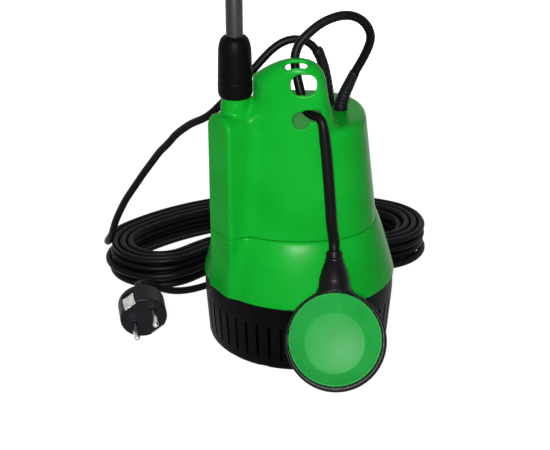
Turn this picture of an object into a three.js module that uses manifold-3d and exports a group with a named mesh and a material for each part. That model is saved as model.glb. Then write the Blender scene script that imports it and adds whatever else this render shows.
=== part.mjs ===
// Submersible sump pump with a tethered float switch and a coiled mains lead.
// Millimetres, +Z up. The origin is the middle of the strainer's underside, and the discharge stands front left.
import * as THREE from 'three';
import { mergeVertices } from 'three/addons/utils/BufferGeometryUtils.js';
import Module from 'manifold-3d';

// Housing: overall sizes
const LUG_CROWN = 242;
const HOUSING_TOP = 189;
const SEAM_HEIGHT = 104;
const SKIRT_EDGE_HEIGHT = 55;
const SKIRT_RADIUS = 77;
const SEAM_HALF_WIDTH = 60.5;
const SEAM_HALF_DEPTH = 58;
const TOP_HALF_WIDTH = 50;
const TOP_HALF_DEPTH = 50.5;
const WALL = 3;
const TOP_EDGE_RADIUS = 5;
const FLARE_POWER = 0.78;
const SEAM_POWER = 2.4;
const SKIRT_POWER = 2;

// Discharge duct, neck and what is fitted on it
const DUCT_ANGLE = THREE.MathUtils.degToRad(214.5);
const DUCT_REACH = 76.4;
const DUCT_HALF_WIDTH = 13.6;
const DUCT_CORNER_POWER = 16;
const DUCT_BLEND = 5;
const NECK_DISTANCE = 59;
const NECK_RADIUS = 10.4;
const NECK_TOP = 222;
const SHOULDER_BOTTOM = 180;
const SHOULDER_TOP = 200;
const COLLAR_RADIUS = 11.4;
const COLLAR_TOP = 205.5;
const BEAD_HEIGHT = 208.5;
const BEAD_RADIUS = 0.9;
const DUCT_BORE = 8;
const CONNECTOR_BOTTOM = 211.5;
const CONNECTOR_RADIUS = 12.8;
const CONNECTOR_TOP_RADIUS = 12.1;
const CONNECTOR_SHOULDER = 247;
const CONNECTOR_TOP = 257;
const CONNECTOR_MOUTH_RADIUS = 8.2;
const CONNECTOR_EDGE = 3;
const CONNECTOR_FOOT_STEP = 1.2;
const CONNECTOR_DOME_RISE = 4.5;
const CONNECTOR_LIP_DROP = 2.2;
const CONNECTOR_RING_HEIGHT = 224;
const CONNECTOR_RING_DEPTH = 0.4;
const RISER_RADIUS = 6.3;
const RISER_BORE = 5.1;
const RISER_TOP = 292;
const RISER_BOTTOM = 226;
const SEAL_THICKNESS = 2.4;

// Carrying lug over the front of the housing
const LUG_LEFT = -34.8;
const LUG_RIGHT = 27;
const LUG_FILLET = 9;
const LUG_RIM_DEPTH = 12;
const EYE_WIDTH = 18.8;
const EYE_HEIGHT = 15;
const EYE_CORNER = 6.8;
const EYE_X = 1.3;
const EYE_Z = 224.2;
const KEYHOLE_RADIUS = 6.7;
const KEYHOLE_X = -0.5;
const KEYHOLE_Z = 197.6;
const KEYSLOT_HEIGHT = 8.8;
const KEYSLOT_END = 12;
const KEYSLOT_Z = 201.2;
const TOP_SLOT_WIDTH = 16.6;
const TOP_SLOT_DEPTH = 5.6;
const TOP_SLOT_X = -4.2;
const TOP_SLOT_SETBACK = 5.4;

// Inside the housings
const LEDGE_RADIUS = 45.6;
const LEDGE_THICKNESS = 4.6;
const PARTITION_HEIGHT = 60;
const PARTITION_THICKNESS = 4;
const SEAL_RADIUS = 48.8;
const SEAL_CORD = 2.4;
const SCREW_POST_RADIUS = 4.2;
const HOUSING_SCREW_DISTANCE = 53.3;
const SCREW_START_ANGLE = DUCT_ANGLE + Math.PI / 4;

// Motor
const CAN_RADIUS = 44;
const CAN_WALL = 1.2;
const CAN_TOP = 146;
const FLANGE_THICKNESS = 5;
const FLANGE_BOSS_RADIUS = 29.4;
const FLANGE_BOSS_DROP = 7;
const FLANGE_WEB = 2.6;
const BEARING_RADIUS = 15.6;
const BEARING_WIDTH = 9;
const BEARING_SEAT_WALL = 3.2;
const SHAFT_RADIUS = 5;
const SHAFT_TOP = 155.4;
const SHAFT_BOTTOM = 27.5;
const SHAFT_SEAL_LIP = 1.6;
const ROTOR_RADIUS = 23.5;
const AIR_GAP = 0.5;
const STATOR_BOTTOM = 92;
const STATOR_TOP = 132;
const WINDING_HEIGHT = 10;
const WINDING_INNER = 27;
const WINDING_OUTER = 40;
const SHAFT_SEAL_RADIUS = 12.6;
const CAPACITOR_RADIUS = 12;
const CAPACITOR_LENGTH = 46;
const CAPACITOR_OFFSET = 30;
const CAPACITOR_EDGE = 1.5;

// Wet end
const VOLUTE_BOTTOM = 30;
const VOLUTE_START_RADIUS = 42;
const VOLUTE_END_RADIUS = 48;
const VOLUTE_WALL = 2.6;
const VOLUTE_TOP_HOLE = 31;
const VOLUTE_TOP_THICKNESS = 3.4;
const COVER_THICKNESS = 4;
const COVER_RADIUS = 50.5;
const SUCTION_RADIUS = 19;
const IMPELLER_RADIUS = 38;
const IMPELLER_PLATE = 3;
const IMPELLER_TOP = 54;
const IMPELLER_HUB_RADIUS = 10.5;
const IMPELLER_HUB_BOTTOM = 33;
const BLADE_COUNT = 7;
const BLADE_HEIGHT = 19;
const BLADE_THICKNESS = 2.6;
const BLADE_SWEEP = THREE.MathUtils.degToRad(62);
const NUT_RADIUS = 7.2;
const NUT_HEIGHT = 4.2;
const OUTLET_RADIUS = 9.6;
const OUTLET_THROAT = 7;
const OUTLET_THROAT_HEIGHT = 43;
const COVER_SCREW_DISTANCE = 46.2;
const COVER_BOSS_RADIUS = 3.6;
const COVER_BOSS_HEIGHT = 12;

// Strainer
const STRAINER_STEP = 0.8;
const STRAINER_TAPER = 2.6;
const STRAINER_TOP_RADIUS = SKIRT_RADIUS - STRAINER_STEP;
const STRAINER_FOOT_RADIUS = STRAINER_TOP_RADIUS - STRAINER_TAPER;
const STRAINER_BAND = 40;
const STRAINER_SHOULDER = 54.6;
const SPIGOT_HEIGHT = 4.6;
const FLOOR_THICKNESS = 3;
const FOOT_EDGE = 2.5;
const SLOT_COUNT = 48;
const SLOT_WIDTH = 2.4;
const SLOT_BOTTOM = 9;
const SLOT_TOP = 38;
const NOTCH_COUNT = 16;
const NOTCH_WIDTH = 7;
const NOTCH_DEPTH = 1.2;
const PILLAR_RADIUS = 6;
const PILLAR_INSET = 10.8;
const PILLAR_DISTANCE = STRAINER_TOP_RADIUS - PILLAR_INSET;
const PILLAR_COUNTERBORE = 44;
const PARTITION_BOSS_RADIUS = 4.6;
const PARTITION_BOSS_HEIGHT = 8;

// Fasteners
const SCREW_RADIUS = 2;
const SCREW_HEAD_RADIUS = 3.8;
const SCREW_HEAD_HEIGHT = 2.6;
const SOCKET_RADIUS = 1.6;
const SOCKET_DEPTH = 1.4;
const BASE_SCREW_LENGTH = 23;
const SCREW_BITE = 3.5;
const HOUSING_SCREW_LENGTH = SEAM_HEIGHT - PARTITION_HEIGHT + SCREW_BITE;
const COVER_SCREW_LENGTH = 13;
const COVER_SCREW_RADIUS = 1.6;
const SCREW_COUNT = 4;

// Cables, gland boots and plug
const MAINS_CORD = 6.2;
const FLOAT_CORD = 6.8;
const DROP_DIAMETER = 8.2;
const BOOT_FOOT_RADIUS = 5.7;
const BOOT_PLUG_RADIUS = 4.7;
const BOOT_NECK_RADIUS = 4.3;
const BOOT_LIP_RADIUS = 5.3;
const COIL_SPINE_RADIUS = 162;
const COIL_LEFT_ANGLE = THREE.MathUtils.degToRad(139.5);
const COIL_RIGHT_ANGLE = THREE.MathUtils.degToRad(63.5);
const COIL_HALF_WIDTH = 52;
const COIL_PITCH = 6.9;
const COIL_LAYERS = 4;
const COIL_TURNS = 13.676;
const COIL_CLIMB_TURNS = 0.5;
const COIL_START_SHARE = 0.13;
const COIL_STEPS_PER_TURN = 24;
const COIL_LIFT = 3.4;
const PLUG_RADIUS = 19;
const PLUG_BODY_LENGTH = 20;
const PLUG_TAPER_LENGTH = 8;
const PLUG_NECK_RADIUS = 8;
const PLUG_NECK_LENGTH = 6;
const PLUG_EDGE = 1.5;
const PIN_RADIUS = 2.4;
const PIN_LENGTH = 19;
const PIN_SPACING = 19;
const PIN_TIP = 1.2;
const CLIP_WIDTH = 10;
const CLIP_THICKNESS = 1.2;
const CLIP_LENGTH = 15;
const CLIP_NOTCH_DEPTH = 3;
const CLIP_NOTCH_WIDTH = 12;
const PLUG_YAW = THREE.MathUtils.degToRad(12);
const PLUG_ROLL = THREE.MathUtils.degToRad(38);
const PLUG_FACE = [-126.6, -23, 19.4];

// Float
const FLOAT_RADIUS = 37;
const FLOAT_THICKNESS = 22;
const FLOAT_EDGE = 6;
const FLOAT_FRONT_EDGE = 1.6;
const FLOAT_WALL = 2.2;
const LID_RADIUS = 34.6;
const DISH_RADIUS = 22.4;
const DISH_DROP = 7;
const DISH_OFFSET = -2.8;
const LID_THICKNESS = 2;
const LID_FLANGE = 4;
const LID_BEVEL = 0.8;
const FLOAT_SHOULDER_RADIUS = 11.6;
const FLOAT_SHOULDER_TOP = 47;
const FLOAT_SHOULDER_STEP = 0.6;
const FLOAT_THROAT_RADIUS = 7;
const FLOAT_THROAT_FLARE = 2.4;
const FLOAT_THROAT_HEIGHT = 58;
const FLOAT_COLLAR_RADIUS = 6;
const FLOAT_COLLAR_TOP = 66;
const FLOAT_LEAN = THREE.MathUtils.degToRad(29);
const FLOAT_ASIDE = 24.8;
const FLOAT_STANDOFF = 21.7;
const FLOAT_HEIGHT = 43.4;
const FLOAT_CENTRE = [FLOAT_ASIDE, -SKIRT_RADIUS - FLOAT_STANDOFF, FLOAT_HEIGHT];
const SWITCH_TUBE_RADIUS = 4.8;
const SWITCH_TUBE_WALL = 1;
const SWITCH_TUBE_LENGTH = 24;
const SWITCH_BOX_WIDTH = 18;
const SWITCH_BOX_HEIGHT = 12;
const SWITCH_BOX_DEPTH = 8;
const BALL_RADIUS = 3.4;

// Shared values
const GAP = 0.3;
const OVERRUN = 4;
const WELD = 1e-4;
const SHORTEST_EDGE = 0.03;
const ROUND_STEPS = 40;
const INNER_STEPS = 24;
const SMALL_STEPS = 12;
const ARC_STEPS = 3;
const HEX_SIDES = 6;
const CORD_SIDES = 8;
const COIL_SIDES = 6;

const wasm = await Module();
wasm.setup();

// Welds a geometry's corners, drops empty triangles and makes its faces point out
function closed(geometry) {
  const bare = geometry.clone();
  bare.deleteAttribute('normal');
  bare.deleteAttribute('uv');
  const welded = mergeVertices(bare, WELD);
  const places = welded.attributes.position;
  const kept = [];
  let volume = 0;
  const corner = [new THREE.Vector3(), new THREE.Vector3(), new THREE.Vector3()];
  for (let i = 0; i < welded.index.count; i += 3) {
    const ids = [0, 1, 2].map((k) => welded.index.getX(i + k));
    if (ids[0] === ids[1] || ids[1] === ids[2] || ids[2] === ids[0]) continue;
    kept.push(...ids);
    ids.forEach((id, k) => corner[k].fromBufferAttribute(places, id));
    volume += corner[0].dot(corner[1].clone().cross(corner[2]));
  }
  if (volume < 0) kept.reverse();
  welded.setIndex(kept);
  welded.computeVertexNormals();
  return welded;
}

function toSolid(geometry) {
  const welded = closed(geometry);
  return new wasm.Manifold(new wasm.Mesh({
    numProp: 3,
    vertProperties: new Float32Array(welded.attributes.position.array),
    triVerts: new Uint32Array(welded.index.array),
  }));
}

// A cut solid as a geometry, in which edges too short to see are drawn together into one corner
function toGeometry(solid) {
  const mesh = solid.getMesh();
  const places = mesh.vertProperties;
  const heir = Array.from({ length: places.length / 3 }, (_, i) => i);
  const last = (i) => (heir[i] === i ? i : last(heir[i]));
  const at = (i) => new THREE.Vector3().fromArray(places, i * 3);
  for (let i = 0; i < mesh.triVerts.length; i += 3) {
    for (let k = 0; k < 3; k += 1) {
      const from = last(mesh.triVerts[i + k]);
      const to = last(mesh.triVerts[i + ((k + 1) % 3)]);
      if (from !== to && at(from).distanceTo(at(to)) < SHORTEST_EDGE) heir[to] = from;
    }
  }
  const geometry = new THREE.BufferGeometry();
  geometry.setAttribute('position', new THREE.BufferAttribute(new Float32Array(places), 3));
  geometry.setIndex(Array.from(mesh.triVerts, last));
  return closed(geometry);
}

function joined(solids) {
  return solids.reduce((whole, one) => whole.add(one));
}

// A turned form about Z from radius and height pairs that close on themselves or on the axis
function revolve(profile, steps = ROUND_STEPS) {
  const points = profile.map(([radius, height]) => new THREE.Vector2(radius, height));
  return new THREE.LatheGeometry(points, steps).rotateX(Math.PI / 2);
}

// A ring with square edges about Z
function ring(inner, outer, bottom, top, steps = ROUND_STEPS) {
  return revolve([[inner, bottom], [outer, bottom], [outer, top], [inner, top], [inner, bottom]], steps);
}

function rod(radius, bottom, top, steps = ROUND_STEPS) {
  return revolve([[0, bottom], [radius, bottom], [radius, top], [0, top]], steps);
}

function block(width, depth, height, x, y, z) {
  return new THREE.BoxGeometry(width, depth, height).translate(x, y, z);
}

// A flat outline raised along Z from bottom to top
function raised(shape, bottom, top, curveSteps = ARC_STEPS) {
  const options = { depth: top - bottom, bevelEnabled: false, curveSegments: curveSteps };
  return new THREE.ExtrudeGeometry(shape, options).translate(0, 0, bottom);
}

// A closed skin over rings of equally many points, with a fan from the middle of each end ring
function loft(rings, firstMiddle, lastMiddle) {
  const count = rings[0].length;
  const places = rings.flat();
  const faces = [];
  for (let row = 0; row + 1 < rings.length; row += 1) {
    for (let i = 0; i < count; i += 1) {
      const next = (i + 1) % count;
      const a = row * count + i;
      const b = row * count + next;
      faces.push(a, b, b + count, a, b + count, a + count);
    }
  }
  const middleOf = (points) => points.reduce((sum, p) => sum.add(p), new THREE.Vector3()).divideScalar(count);
  places.push(firstMiddle || middleOf(rings[0]), lastMiddle || middleOf(rings[rings.length - 1]));
  const start = places.length - 2;
  const lastRow = (rings.length - 1) * count;
  for (let i = 0; i < count; i += 1) {
    const next = (i + 1) % count;
    faces.push(start, next, i, start + 1, lastRow + i, lastRow + next);
  }
  const geometry = new THREE.BufferGeometry().setFromPoints(places);
  geometry.setIndex(faces);
  return geometry;
}

// The stretch of a route between two of its own points, less a gap at each end
class Stretch extends THREE.Curve {
  constructor(points, first, last, startGap, endGap) {
    super();
    this.whole = new THREE.CatmullRomCurve3(points.map((p) => new THREE.Vector3(...p)));
    const finer = 20;
    const lengths = this.whole.getLengths((points.length - 1) * finer);
    const total = lengths[lengths.length - 1];
    this.from = (lengths[first * finer] + startGap) / total;
    this.to = (lengths[last * finer] - endGap) / total;
  }

  getPoint(share, target) {
    return this.whole.getPointAt(THREE.MathUtils.lerp(this.from, this.to, share), target);
  }
}

// A solid of round sections along a curve, from pairs of a share of its length and a radius
function sweep(curve, pairs, sides, steps) {
  const frames = curve.computeFrenetFrames(steps, false);
  const rings = [];
  pairs.forEach(([share, radius]) => {
    const row = Math.round(share * steps);
    const middle = curve.getPointAt(row / steps);
    rings.push(around(sides).map((turn) => middle.clone()
      .addScaledVector(frames.normals[row], Math.cos(turn) * radius)
      .addScaledVector(frames.binormals[row], Math.sin(turn) * radius)));
  });
  return loft(rings);
}

// A plain cord: a round section pushed along a curve
function cord(curve, diameter, steps) {
  const corners = around(CORD_SIDES).map((turn) => (
    new THREE.Vector2(Math.cos(turn) * diameter / 2, Math.sin(turn) * diameter / 2)));
  const options = { steps, extrudePath: curve, bevelEnabled: false };
  return new THREE.ExtrudeGeometry(new THREE.Shape(corners), options);
}

// Evenly spaced turns round Z
function around(count, start = 0) {
  return Array.from({ length: count }, (_, i) => start + (i / count) * 2 * Math.PI);
}

function polar(distance, angle, height) {
  return [distance * Math.cos(angle), distance * Math.sin(angle), height];
}

// Plan form of the housing: a soft square that grows round towards the skirt
function softSquare(angle, halfWidth, halfDepth, power) {
  const across = Math.abs(Math.cos(angle)) / halfWidth;
  const deep = Math.abs(Math.sin(angle)) / halfDepth;
  return (across ** power + deep ** power) ** (-1 / power);
}

function casingHalves(height) {
  const share = (height - SEAM_HEIGHT) / (HOUSING_TOP - SEAM_HEIGHT);
  return {
    width: THREE.MathUtils.lerp(SEAM_HALF_WIDTH, TOP_HALF_WIDTH, share),
    depth: THREE.MathUtils.lerp(SEAM_HALF_DEPTH, TOP_HALF_DEPTH, share),
  };
}

function casingRadius(angle, height, inset) {
  const halves = casingHalves(height);
  return softSquare(angle, halves.width - inset, halves.depth - inset, SEAM_POWER);
}

function skirtRadius(angle, height, inset) {
  const share = THREE.MathUtils.clamp((SEAM_HEIGHT - height) / (SEAM_HEIGHT - SKIRT_EDGE_HEIGHT), 0, 1);
  const ease = share ** FLARE_POWER;
  const width = THREE.MathUtils.lerp(SEAM_HALF_WIDTH, SKIRT_RADIUS, ease) - inset;
  const depth = THREE.MathUtils.lerp(SEAM_HALF_DEPTH, SKIRT_RADIUS, ease) - inset;
  return softSquare(angle, width, depth, THREE.MathUtils.lerp(SEAM_POWER, SKIRT_POWER, ease));
}

function ductRadius(angle, inset) {
  const turn = angle - DUCT_ANGLE;
  if (Math.cos(turn) <= 0) return 0;
  const out = Math.cos(turn) / (DUCT_REACH - inset);
  const side = Math.abs(Math.sin(turn)) / (DUCT_HALF_WIDTH - inset);
  return (out ** DUCT_CORNER_POWER + side ** DUCT_CORNER_POWER) ** (-1 / DUCT_CORNER_POWER);
}

// The larger of two radii, with a soft valley where they meet
function blended(a, b, softness) {
  const near = Math.max(softness - Math.abs(a - b), 0) / softness;
  return Math.max(a, b) + near * near * softness / 4;
}

// Angles round the housing, close together at the duct's corners
function housingAngles() {
  const coarse = THREE.MathUtils.degToRad(7.5);
  const fine = THREE.MathUtils.degToRad(2);
  const reach = THREE.MathUtils.degToRad(18);
  const angles = [];
  for (let turn = -reach; turn < reach; turn += fine) angles.push(DUCT_ANGLE + turn);
  for (let turn = reach; turn < 2 * Math.PI - reach - coarse / 2; turn += coarse) angles.push(DUCT_ANGLE + turn);
  return angles;
}

function housingRing(angles, height, radiusAt) {
  return angles.map((angle) => new THREE.Vector3(...polar(radiusAt(angle, height), angle, height)));
}

const ductX = NECK_DISTANCE * Math.cos(DUCT_ANGLE);
const ductY = NECK_DISTANCE * Math.sin(DUCT_ANGLE);

// The rounded block under the neck, from the duct's own plan up to the neck's circle
function shoulder() {
  const angles = around(ROUND_STEPS / 2 + 4);
  const levelShares = [0, 0.3, 0.55, 0.8, 1];
  const rings = [];
  const out = DUCT_REACH - NECK_DISTANCE - GAP;
  const addRing = (share, height) => {
    const draw = 1 - Math.cos(share * Math.PI / 2);
    const reach = THREE.MathUtils.lerp(out, COLLAR_RADIUS, draw);
    const half = THREE.MathUtils.lerp(DUCT_HALF_WIDTH - GAP, COLLAR_RADIUS, draw);
    const power = THREE.MathUtils.lerp(DUCT_CORNER_POWER, SKIRT_POWER, Math.min(share * 2, 1));
    rings.push(angles.map((angle) => {
      const radius = softSquare(angle, reach, half, power);
      return new THREE.Vector3(radius * Math.cos(angle), radius * Math.sin(angle), height);
    }));
  };
  addRing(0, SHOULDER_BOTTOM - WALL);
  levelShares.forEach((share) => {
    const rise = Math.sin(share * Math.PI / 2);
    addRing(share, THREE.MathUtils.lerp(SHOULDER_BOTTOM, SHOULDER_TOP, rise));
  });
  return loft(rings).rotateZ(DUCT_ANGLE).translate(ductX, ductY, 0);
}

// Outline of the lug seen from the front, as shares of its width and of its rise above the housing's top
const lugLeftCurveShares = [[0, 0.68], [0.14, 0.85], [0.32, 1], [0.5065, 1]];
const lugRightCurveShares = [[0.5065, 1], [0.709, 1], [0.806, 0.9], [0.854, 0.67]];
const lugFootCurveShares = [[0.854, 0.67], [0.882, 0.4], [0.935, 0.18], [1, -0.09]];

function lugOutline(inset, bottom) {
  const place = ([x, z]) => new THREE.Vector2(
    THREE.MathUtils.lerp(LUG_LEFT, LUG_RIGHT, x),
    THREE.MathUtils.lerp(HOUSING_TOP, LUG_CROWN, z),
  );
  const path = new THREE.CurvePath();
  const leftTop = place(lugLeftCurveShares[0]);
  path.add(new THREE.LineCurve(new THREE.Vector2(LUG_LEFT, bottom), leftTop));
  [lugLeftCurveShares, lugRightCurveShares, lugFootCurveShares].forEach((shares) => {
    path.add(new THREE.CubicBezierCurve(...shares.map(place)));
  });
  const counts = [2, 9, 8, 6];
  const points = [];
  path.curves.forEach((curve, index) => {
    for (let i = 0; i < counts[index]; i += 1) {
      const share = i / counts[index];
      const tangent = curve.getTangent(share);
      points.push(curve.getPoint(share).add(new THREE.Vector2(tangent.y, -tangent.x).multiplyScalar(inset)));
    }
  });
  points.push(new THREE.Vector2(LUG_RIGHT - inset, bottom));
  points.forEach((point) => { point.y = Math.max(point.y, bottom); });
  return points;
}

// The casing's front surface, carried on upwards
function frontAt(x, z) {
  const halves = casingHalves(z);
  const across = Math.min(Math.abs(x) / halves.width, 1);
  return -halves.depth * (1 - across ** SEAM_POWER) ** (1 / SEAM_POWER);
}

// A pillow with the lug's outline, rounded in front, that follows the casing's front
function lugPillow(inset, bottom, fillet, backDepth) {
  const rings = [];
  const middle = new THREE.Vector2((LUG_LEFT + LUG_RIGHT) / 2, (HOUSING_TOP + LUG_CROWN) / 2);
  const addRing = (outline, depth) => {
    rings.push(outline.map((p) => new THREE.Vector3(p.x, frontAt(p.x, p.y) + depth, p.y)));
  };
  addRing(lugOutline(inset, bottom), backDepth);
  const filletSteps = 4;
  for (let i = 0; i <= filletSteps; i += 1) {
    const turn = (i / filletSteps) * Math.PI / 2;
    addRing(lugOutline(inset + fillet * (1 - Math.cos(turn)), bottom), inset + fillet * (1 - Math.sin(turn)));
  }
  const inner = lugOutline(inset + fillet, bottom);
  const closingShares = [0.35, 0.7];
  closingShares.forEach((share) => addRing(inner.map((p) => p.clone().lerp(middle, share)), inset));
  const front = new THREE.Vector3(middle.x, frontAt(middle.x, middle.y) + inset, middle.y);
  return loft(rings, null, front);
}

// An upright outline cut through the lug from the front
function lugCutter(shape, curveSteps) {
  const reach = TOP_HALF_DEPTH + OVERRUN;
  return toSolid(raised(shape, reach / 2, reach, curveSteps).rotateX(Math.PI / 2));
}

function roundedBox(width, height, corner, x, z) {
  const shape = new THREE.Shape();
  const left = x - width / 2;
  const right = x + width / 2;
  const low = z - height / 2;
  const high = z + height / 2;
  shape.moveTo(left + corner, low);
  shape.lineTo(right - corner, low);
  shape.absarc(right - corner, low + corner, corner, -Math.PI / 2, 0, false);
  shape.lineTo(right, high - corner);
  shape.absarc(right - corner, high - corner, corner, 0, Math.PI / 2, false);
  shape.lineTo(left + corner, high);
  shape.absarc(left + corner, high - corner, corner, Math.PI / 2, Math.PI, false);
  shape.lineTo(left, low + corner);
  shape.absarc(left + corner, low + corner, corner, Math.PI, 1.5 * Math.PI, false);
  return shape;
}

// Upper housing: a thin moulded casing with the duct, the neck and the lug in one piece
function upperHousing() {
  const angles = housingAngles();
  const bottom = SEAM_HEIGHT + GAP / 2;
  const plain = (inset) => (angle, height) => casingRadius(angle, height, inset);
  const withDuct = (angle, height) => blended(casingRadius(angle, height, 0), ductRadius(angle, 0), DUCT_BLEND);
  const rings = [
    housingRing(angles, bottom, withDuct), housingRing(angles, SHOULDER_BOTTOM, withDuct),
    housingRing(angles, SHOULDER_BOTTOM, plain(0)),
  ];
  const edgeSteps = 3;
  for (let i = 0; i <= edgeSteps; i += 1) {
    const turn = (i / edgeSteps) * Math.PI / 2;
    const height = HOUSING_TOP - TOP_EDGE_RADIUS * (1 - Math.sin(turn));
    rings.push(housingRing(angles, height, plain(TOP_EDGE_RADIUS * (1 - Math.cos(turn)))));
  }
  const casing = toSolid(loft(rings));
  const neck = toSolid(revolve([
    [0, SHOULDER_TOP - WALL], [COLLAR_RADIUS, SHOULDER_TOP - WALL], [COLLAR_RADIUS, COLLAR_TOP],
    [NECK_RADIUS, COLLAR_TOP + (COLLAR_RADIUS - NECK_RADIUS)], [NECK_RADIUS, BEAD_HEIGHT - BEAD_RADIUS],
    [NECK_RADIUS + BEAD_RADIUS, BEAD_HEIGHT], [NECK_RADIUS, BEAD_HEIGHT + BEAD_RADIUS],
    [NECK_RADIUS, NECK_TOP], [0, NECK_TOP],
  ], ROUND_STEPS / 2).translate(ductX, ductY, 0));
  const lugFront = toSolid(lugPillow(0, HOUSING_TOP - TOP_EDGE_RADIUS, LUG_FILLET, LUG_RIM_DEPTH));
  const lugHollow = toSolid(lugPillow(WALL, HOUSING_TOP, LUG_FILLET - WALL, LUG_RIM_DEPTH + OVERRUN));

  const roof = HOUSING_TOP - WALL;
  const cavity = toSolid(loft([bottom - OVERRUN, roof].map((height) => (
    housingRing(around(INNER_STEPS), height, plain(WALL))))));
  const pipe = toSolid(rod(DUCT_BORE + WALL, bottom - OVERRUN, SHOULDER_TOP, ROUND_STEPS / 2)
    .translate(ductX, ductY, 0));
  const ledge = toSolid(ring(LEDGE_RADIUS, SEAM_HALF_WIDTH, bottom, bottom + LEDGE_THICKNESS)).intersect(casing);
  const body = joined([casing, toSolid(shoulder()), neck]);
  let housing = body.subtract(cavity.subtract(pipe)).add(ledge);
  housing = housing.add(lugFront.subtract(lugHollow));

  const keySlotLength = KEYSLOT_END - KEYHOLE_X + KEYSLOT_HEIGHT / 2;
  const keySlot = roundedBox(
    keySlotLength, KEYSLOT_HEIGHT, KEYSLOT_HEIGHT / 2 - GAP / 4, KEYHOLE_X + keySlotLength / 2, KEYSLOT_Z,
  );
  const keyhole = new THREE.Shape().absarc(KEYHOLE_X, KEYHOLE_Z, KEYHOLE_RADIUS, 0, 2 * Math.PI, false);
  const eye = roundedBox(EYE_WIDTH, EYE_HEIGHT, EYE_CORNER, EYE_X, EYE_Z);
  const slotY = frontAt(TOP_SLOT_X, LUG_CROWN) + TOP_SLOT_SETBACK;
  const topSlot = roundedBox(TOP_SLOT_WIDTH, TOP_SLOT_DEPTH, TOP_SLOT_DEPTH / 2 - GAP / 4, TOP_SLOT_X, slotY);
  const cutters = [
    toSolid(rod(DUCT_BORE, bottom - OVERRUN, NECK_TOP + OVERRUN, ROUND_STEPS / 2).translate(ductX, ductY, 0)),
    lugCutter(keySlot),
    lugCutter(keyhole, SMALL_STEPS / 2 + ARC_STEPS),
    lugCutter(eye),
    toSolid(raised(topSlot, LUG_CROWN - LUG_FILLET, LUG_CROWN + OVERRUN)),
  ];
  [mainsRoute[0], floatRoute[0]].forEach(([x, y]) => {
    const hole = rod(BOOT_PLUG_RADIUS + GAP, roof - OVERRUN, HOUSING_TOP + OVERRUN, SMALL_STEPS);
    cutters.push(toSolid(hole.translate(x, y, 0)));
  });
  around(SCREW_COUNT, SCREW_START_ANGLE).forEach((angle) => {
    const hole = rod(SCREW_RADIUS + GAP, bottom - OVERRUN, bottom + LEDGE_THICKNESS + OVERRUN, SMALL_STEPS / 2);
    cutters.push(toSolid(hole.translate(...polar(HOUSING_SCREW_DISTANCE, angle, 0))));
  });
  return toGeometry(housing.subtract(joined(cutters)));
}

// Lower housing: the flared skirt, with the floor of the motor room and a ledge with a groove for the seal
function lowerHousing() {
  const top = SEAM_HEIGHT - GAP / 2;
  const angles = housingAngles();
  const heightShares = [0, 0.15, 0.4, 0.7, 1];
  const heights = heightShares.map((share) => THREE.MathUtils.lerp(SKIRT_EDGE_HEIGHT, top, share));
  const outside = (angle, height) => blended(skirtRadius(angle, height, 0), ductRadius(angle, 0), DUCT_BLEND);
  const outer = toSolid(loft(heights.map((height) => housingRing(angles, height, outside))));
  const inside = (angle, height) => skirtRadius(angle, height, WALL);
  const roomFloor = PARTITION_HEIGHT + PARTITION_THICKNESS;
  const roomHeights = [roomFloor, (roomFloor + top) / 2, top + OVERRUN];
  const room = toSolid(loft(roomHeights.map((height) => housingRing(around(ROUND_STEPS), height, inside))));
  const spigotRoom = toSolid(loft([SKIRT_EDGE_HEIGHT - OVERRUN, PARTITION_HEIGHT].map((height) => (
    housingRing(around(ROUND_STEPS), height, (angle) => skirtRadius(angle, PARTITION_HEIGHT, WALL))))));
  const hole = toSolid(rod(FLANGE_BOSS_RADIUS + GAP, PARTITION_HEIGHT - OVERRUN, roomFloor + OVERRUN));
  const ledge = toSolid(ring(LEDGE_RADIUS, SEAM_HALF_WIDTH + WALL, top - LEDGE_THICKNESS, top)).intersect(outer);
  const pipe = toSolid(rod(DUCT_BORE + WALL, PARTITION_HEIGHT, top, ROUND_STEPS / 2).translate(ductX, ductY, 0));
  const posts = around(SCREW_COUNT, SCREW_START_ANGLE).flatMap((angle) => [
    rod(SCREW_POST_RADIUS, PARTITION_HEIGHT, top - GAP, SMALL_STEPS)
      .translate(...polar(HOUSING_SCREW_DISTANCE, angle, 0)),
    rod(PARTITION_BOSS_RADIUS, PARTITION_HEIGHT, PARTITION_HEIGHT + PARTITION_BOSS_HEIGHT, SMALL_STEPS)
      .translate(...polar(PILLAR_DISTANCE, angle, 0)),
  ]).map(toSolid);
  let housing = outer.subtract(room).subtract(spigotRoom).subtract(hole).add(ledge).add(pipe);
  housing = housing.add(joined(posts));

  const groove = ring(SEAL_RADIUS - SEAL_CORD / 2 - GAP, SEAL_RADIUS + SEAL_CORD / 2 + GAP,
    top - SEAL_CORD, top + OVERRUN);
  const cutters = [
    groove,
    rod(DUCT_BORE, PARTITION_HEIGHT - OVERRUN, top + OVERRUN, ROUND_STEPS / 2).translate(ductX, ductY, 0),
  ];
  around(SCREW_COUNT, SCREW_START_ANGLE).forEach((angle) => {
    cutters.push(rod(SCREW_RADIUS + GAP, PARTITION_HEIGHT - OVERRUN, top + OVERRUN, SMALL_STEPS / 2)
      .translate(...polar(HOUSING_SCREW_DISTANCE, angle, 0)));
    cutters.push(rod(SCREW_RADIUS + GAP, PARTITION_HEIGHT - OVERRUN, roomFloor + PARTITION_BOSS_HEIGHT + OVERRUN,
      SMALL_STEPS / 2).translate(...polar(PILLAR_DISTANCE, angle, 0)));
  });
  return toGeometry(housing.subtract(joined(cutters.map(toSolid))));
}

function housingSeal() {
  return new THREE.TorusGeometry(SEAL_RADIUS, SEAL_CORD / 2, COIL_SIDES, ROUND_STEPS)
    .translate(0, 0, SEAM_HEIGHT - GAP / 2 - SEAL_CORD / 2 + GAP / 2);
}

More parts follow.
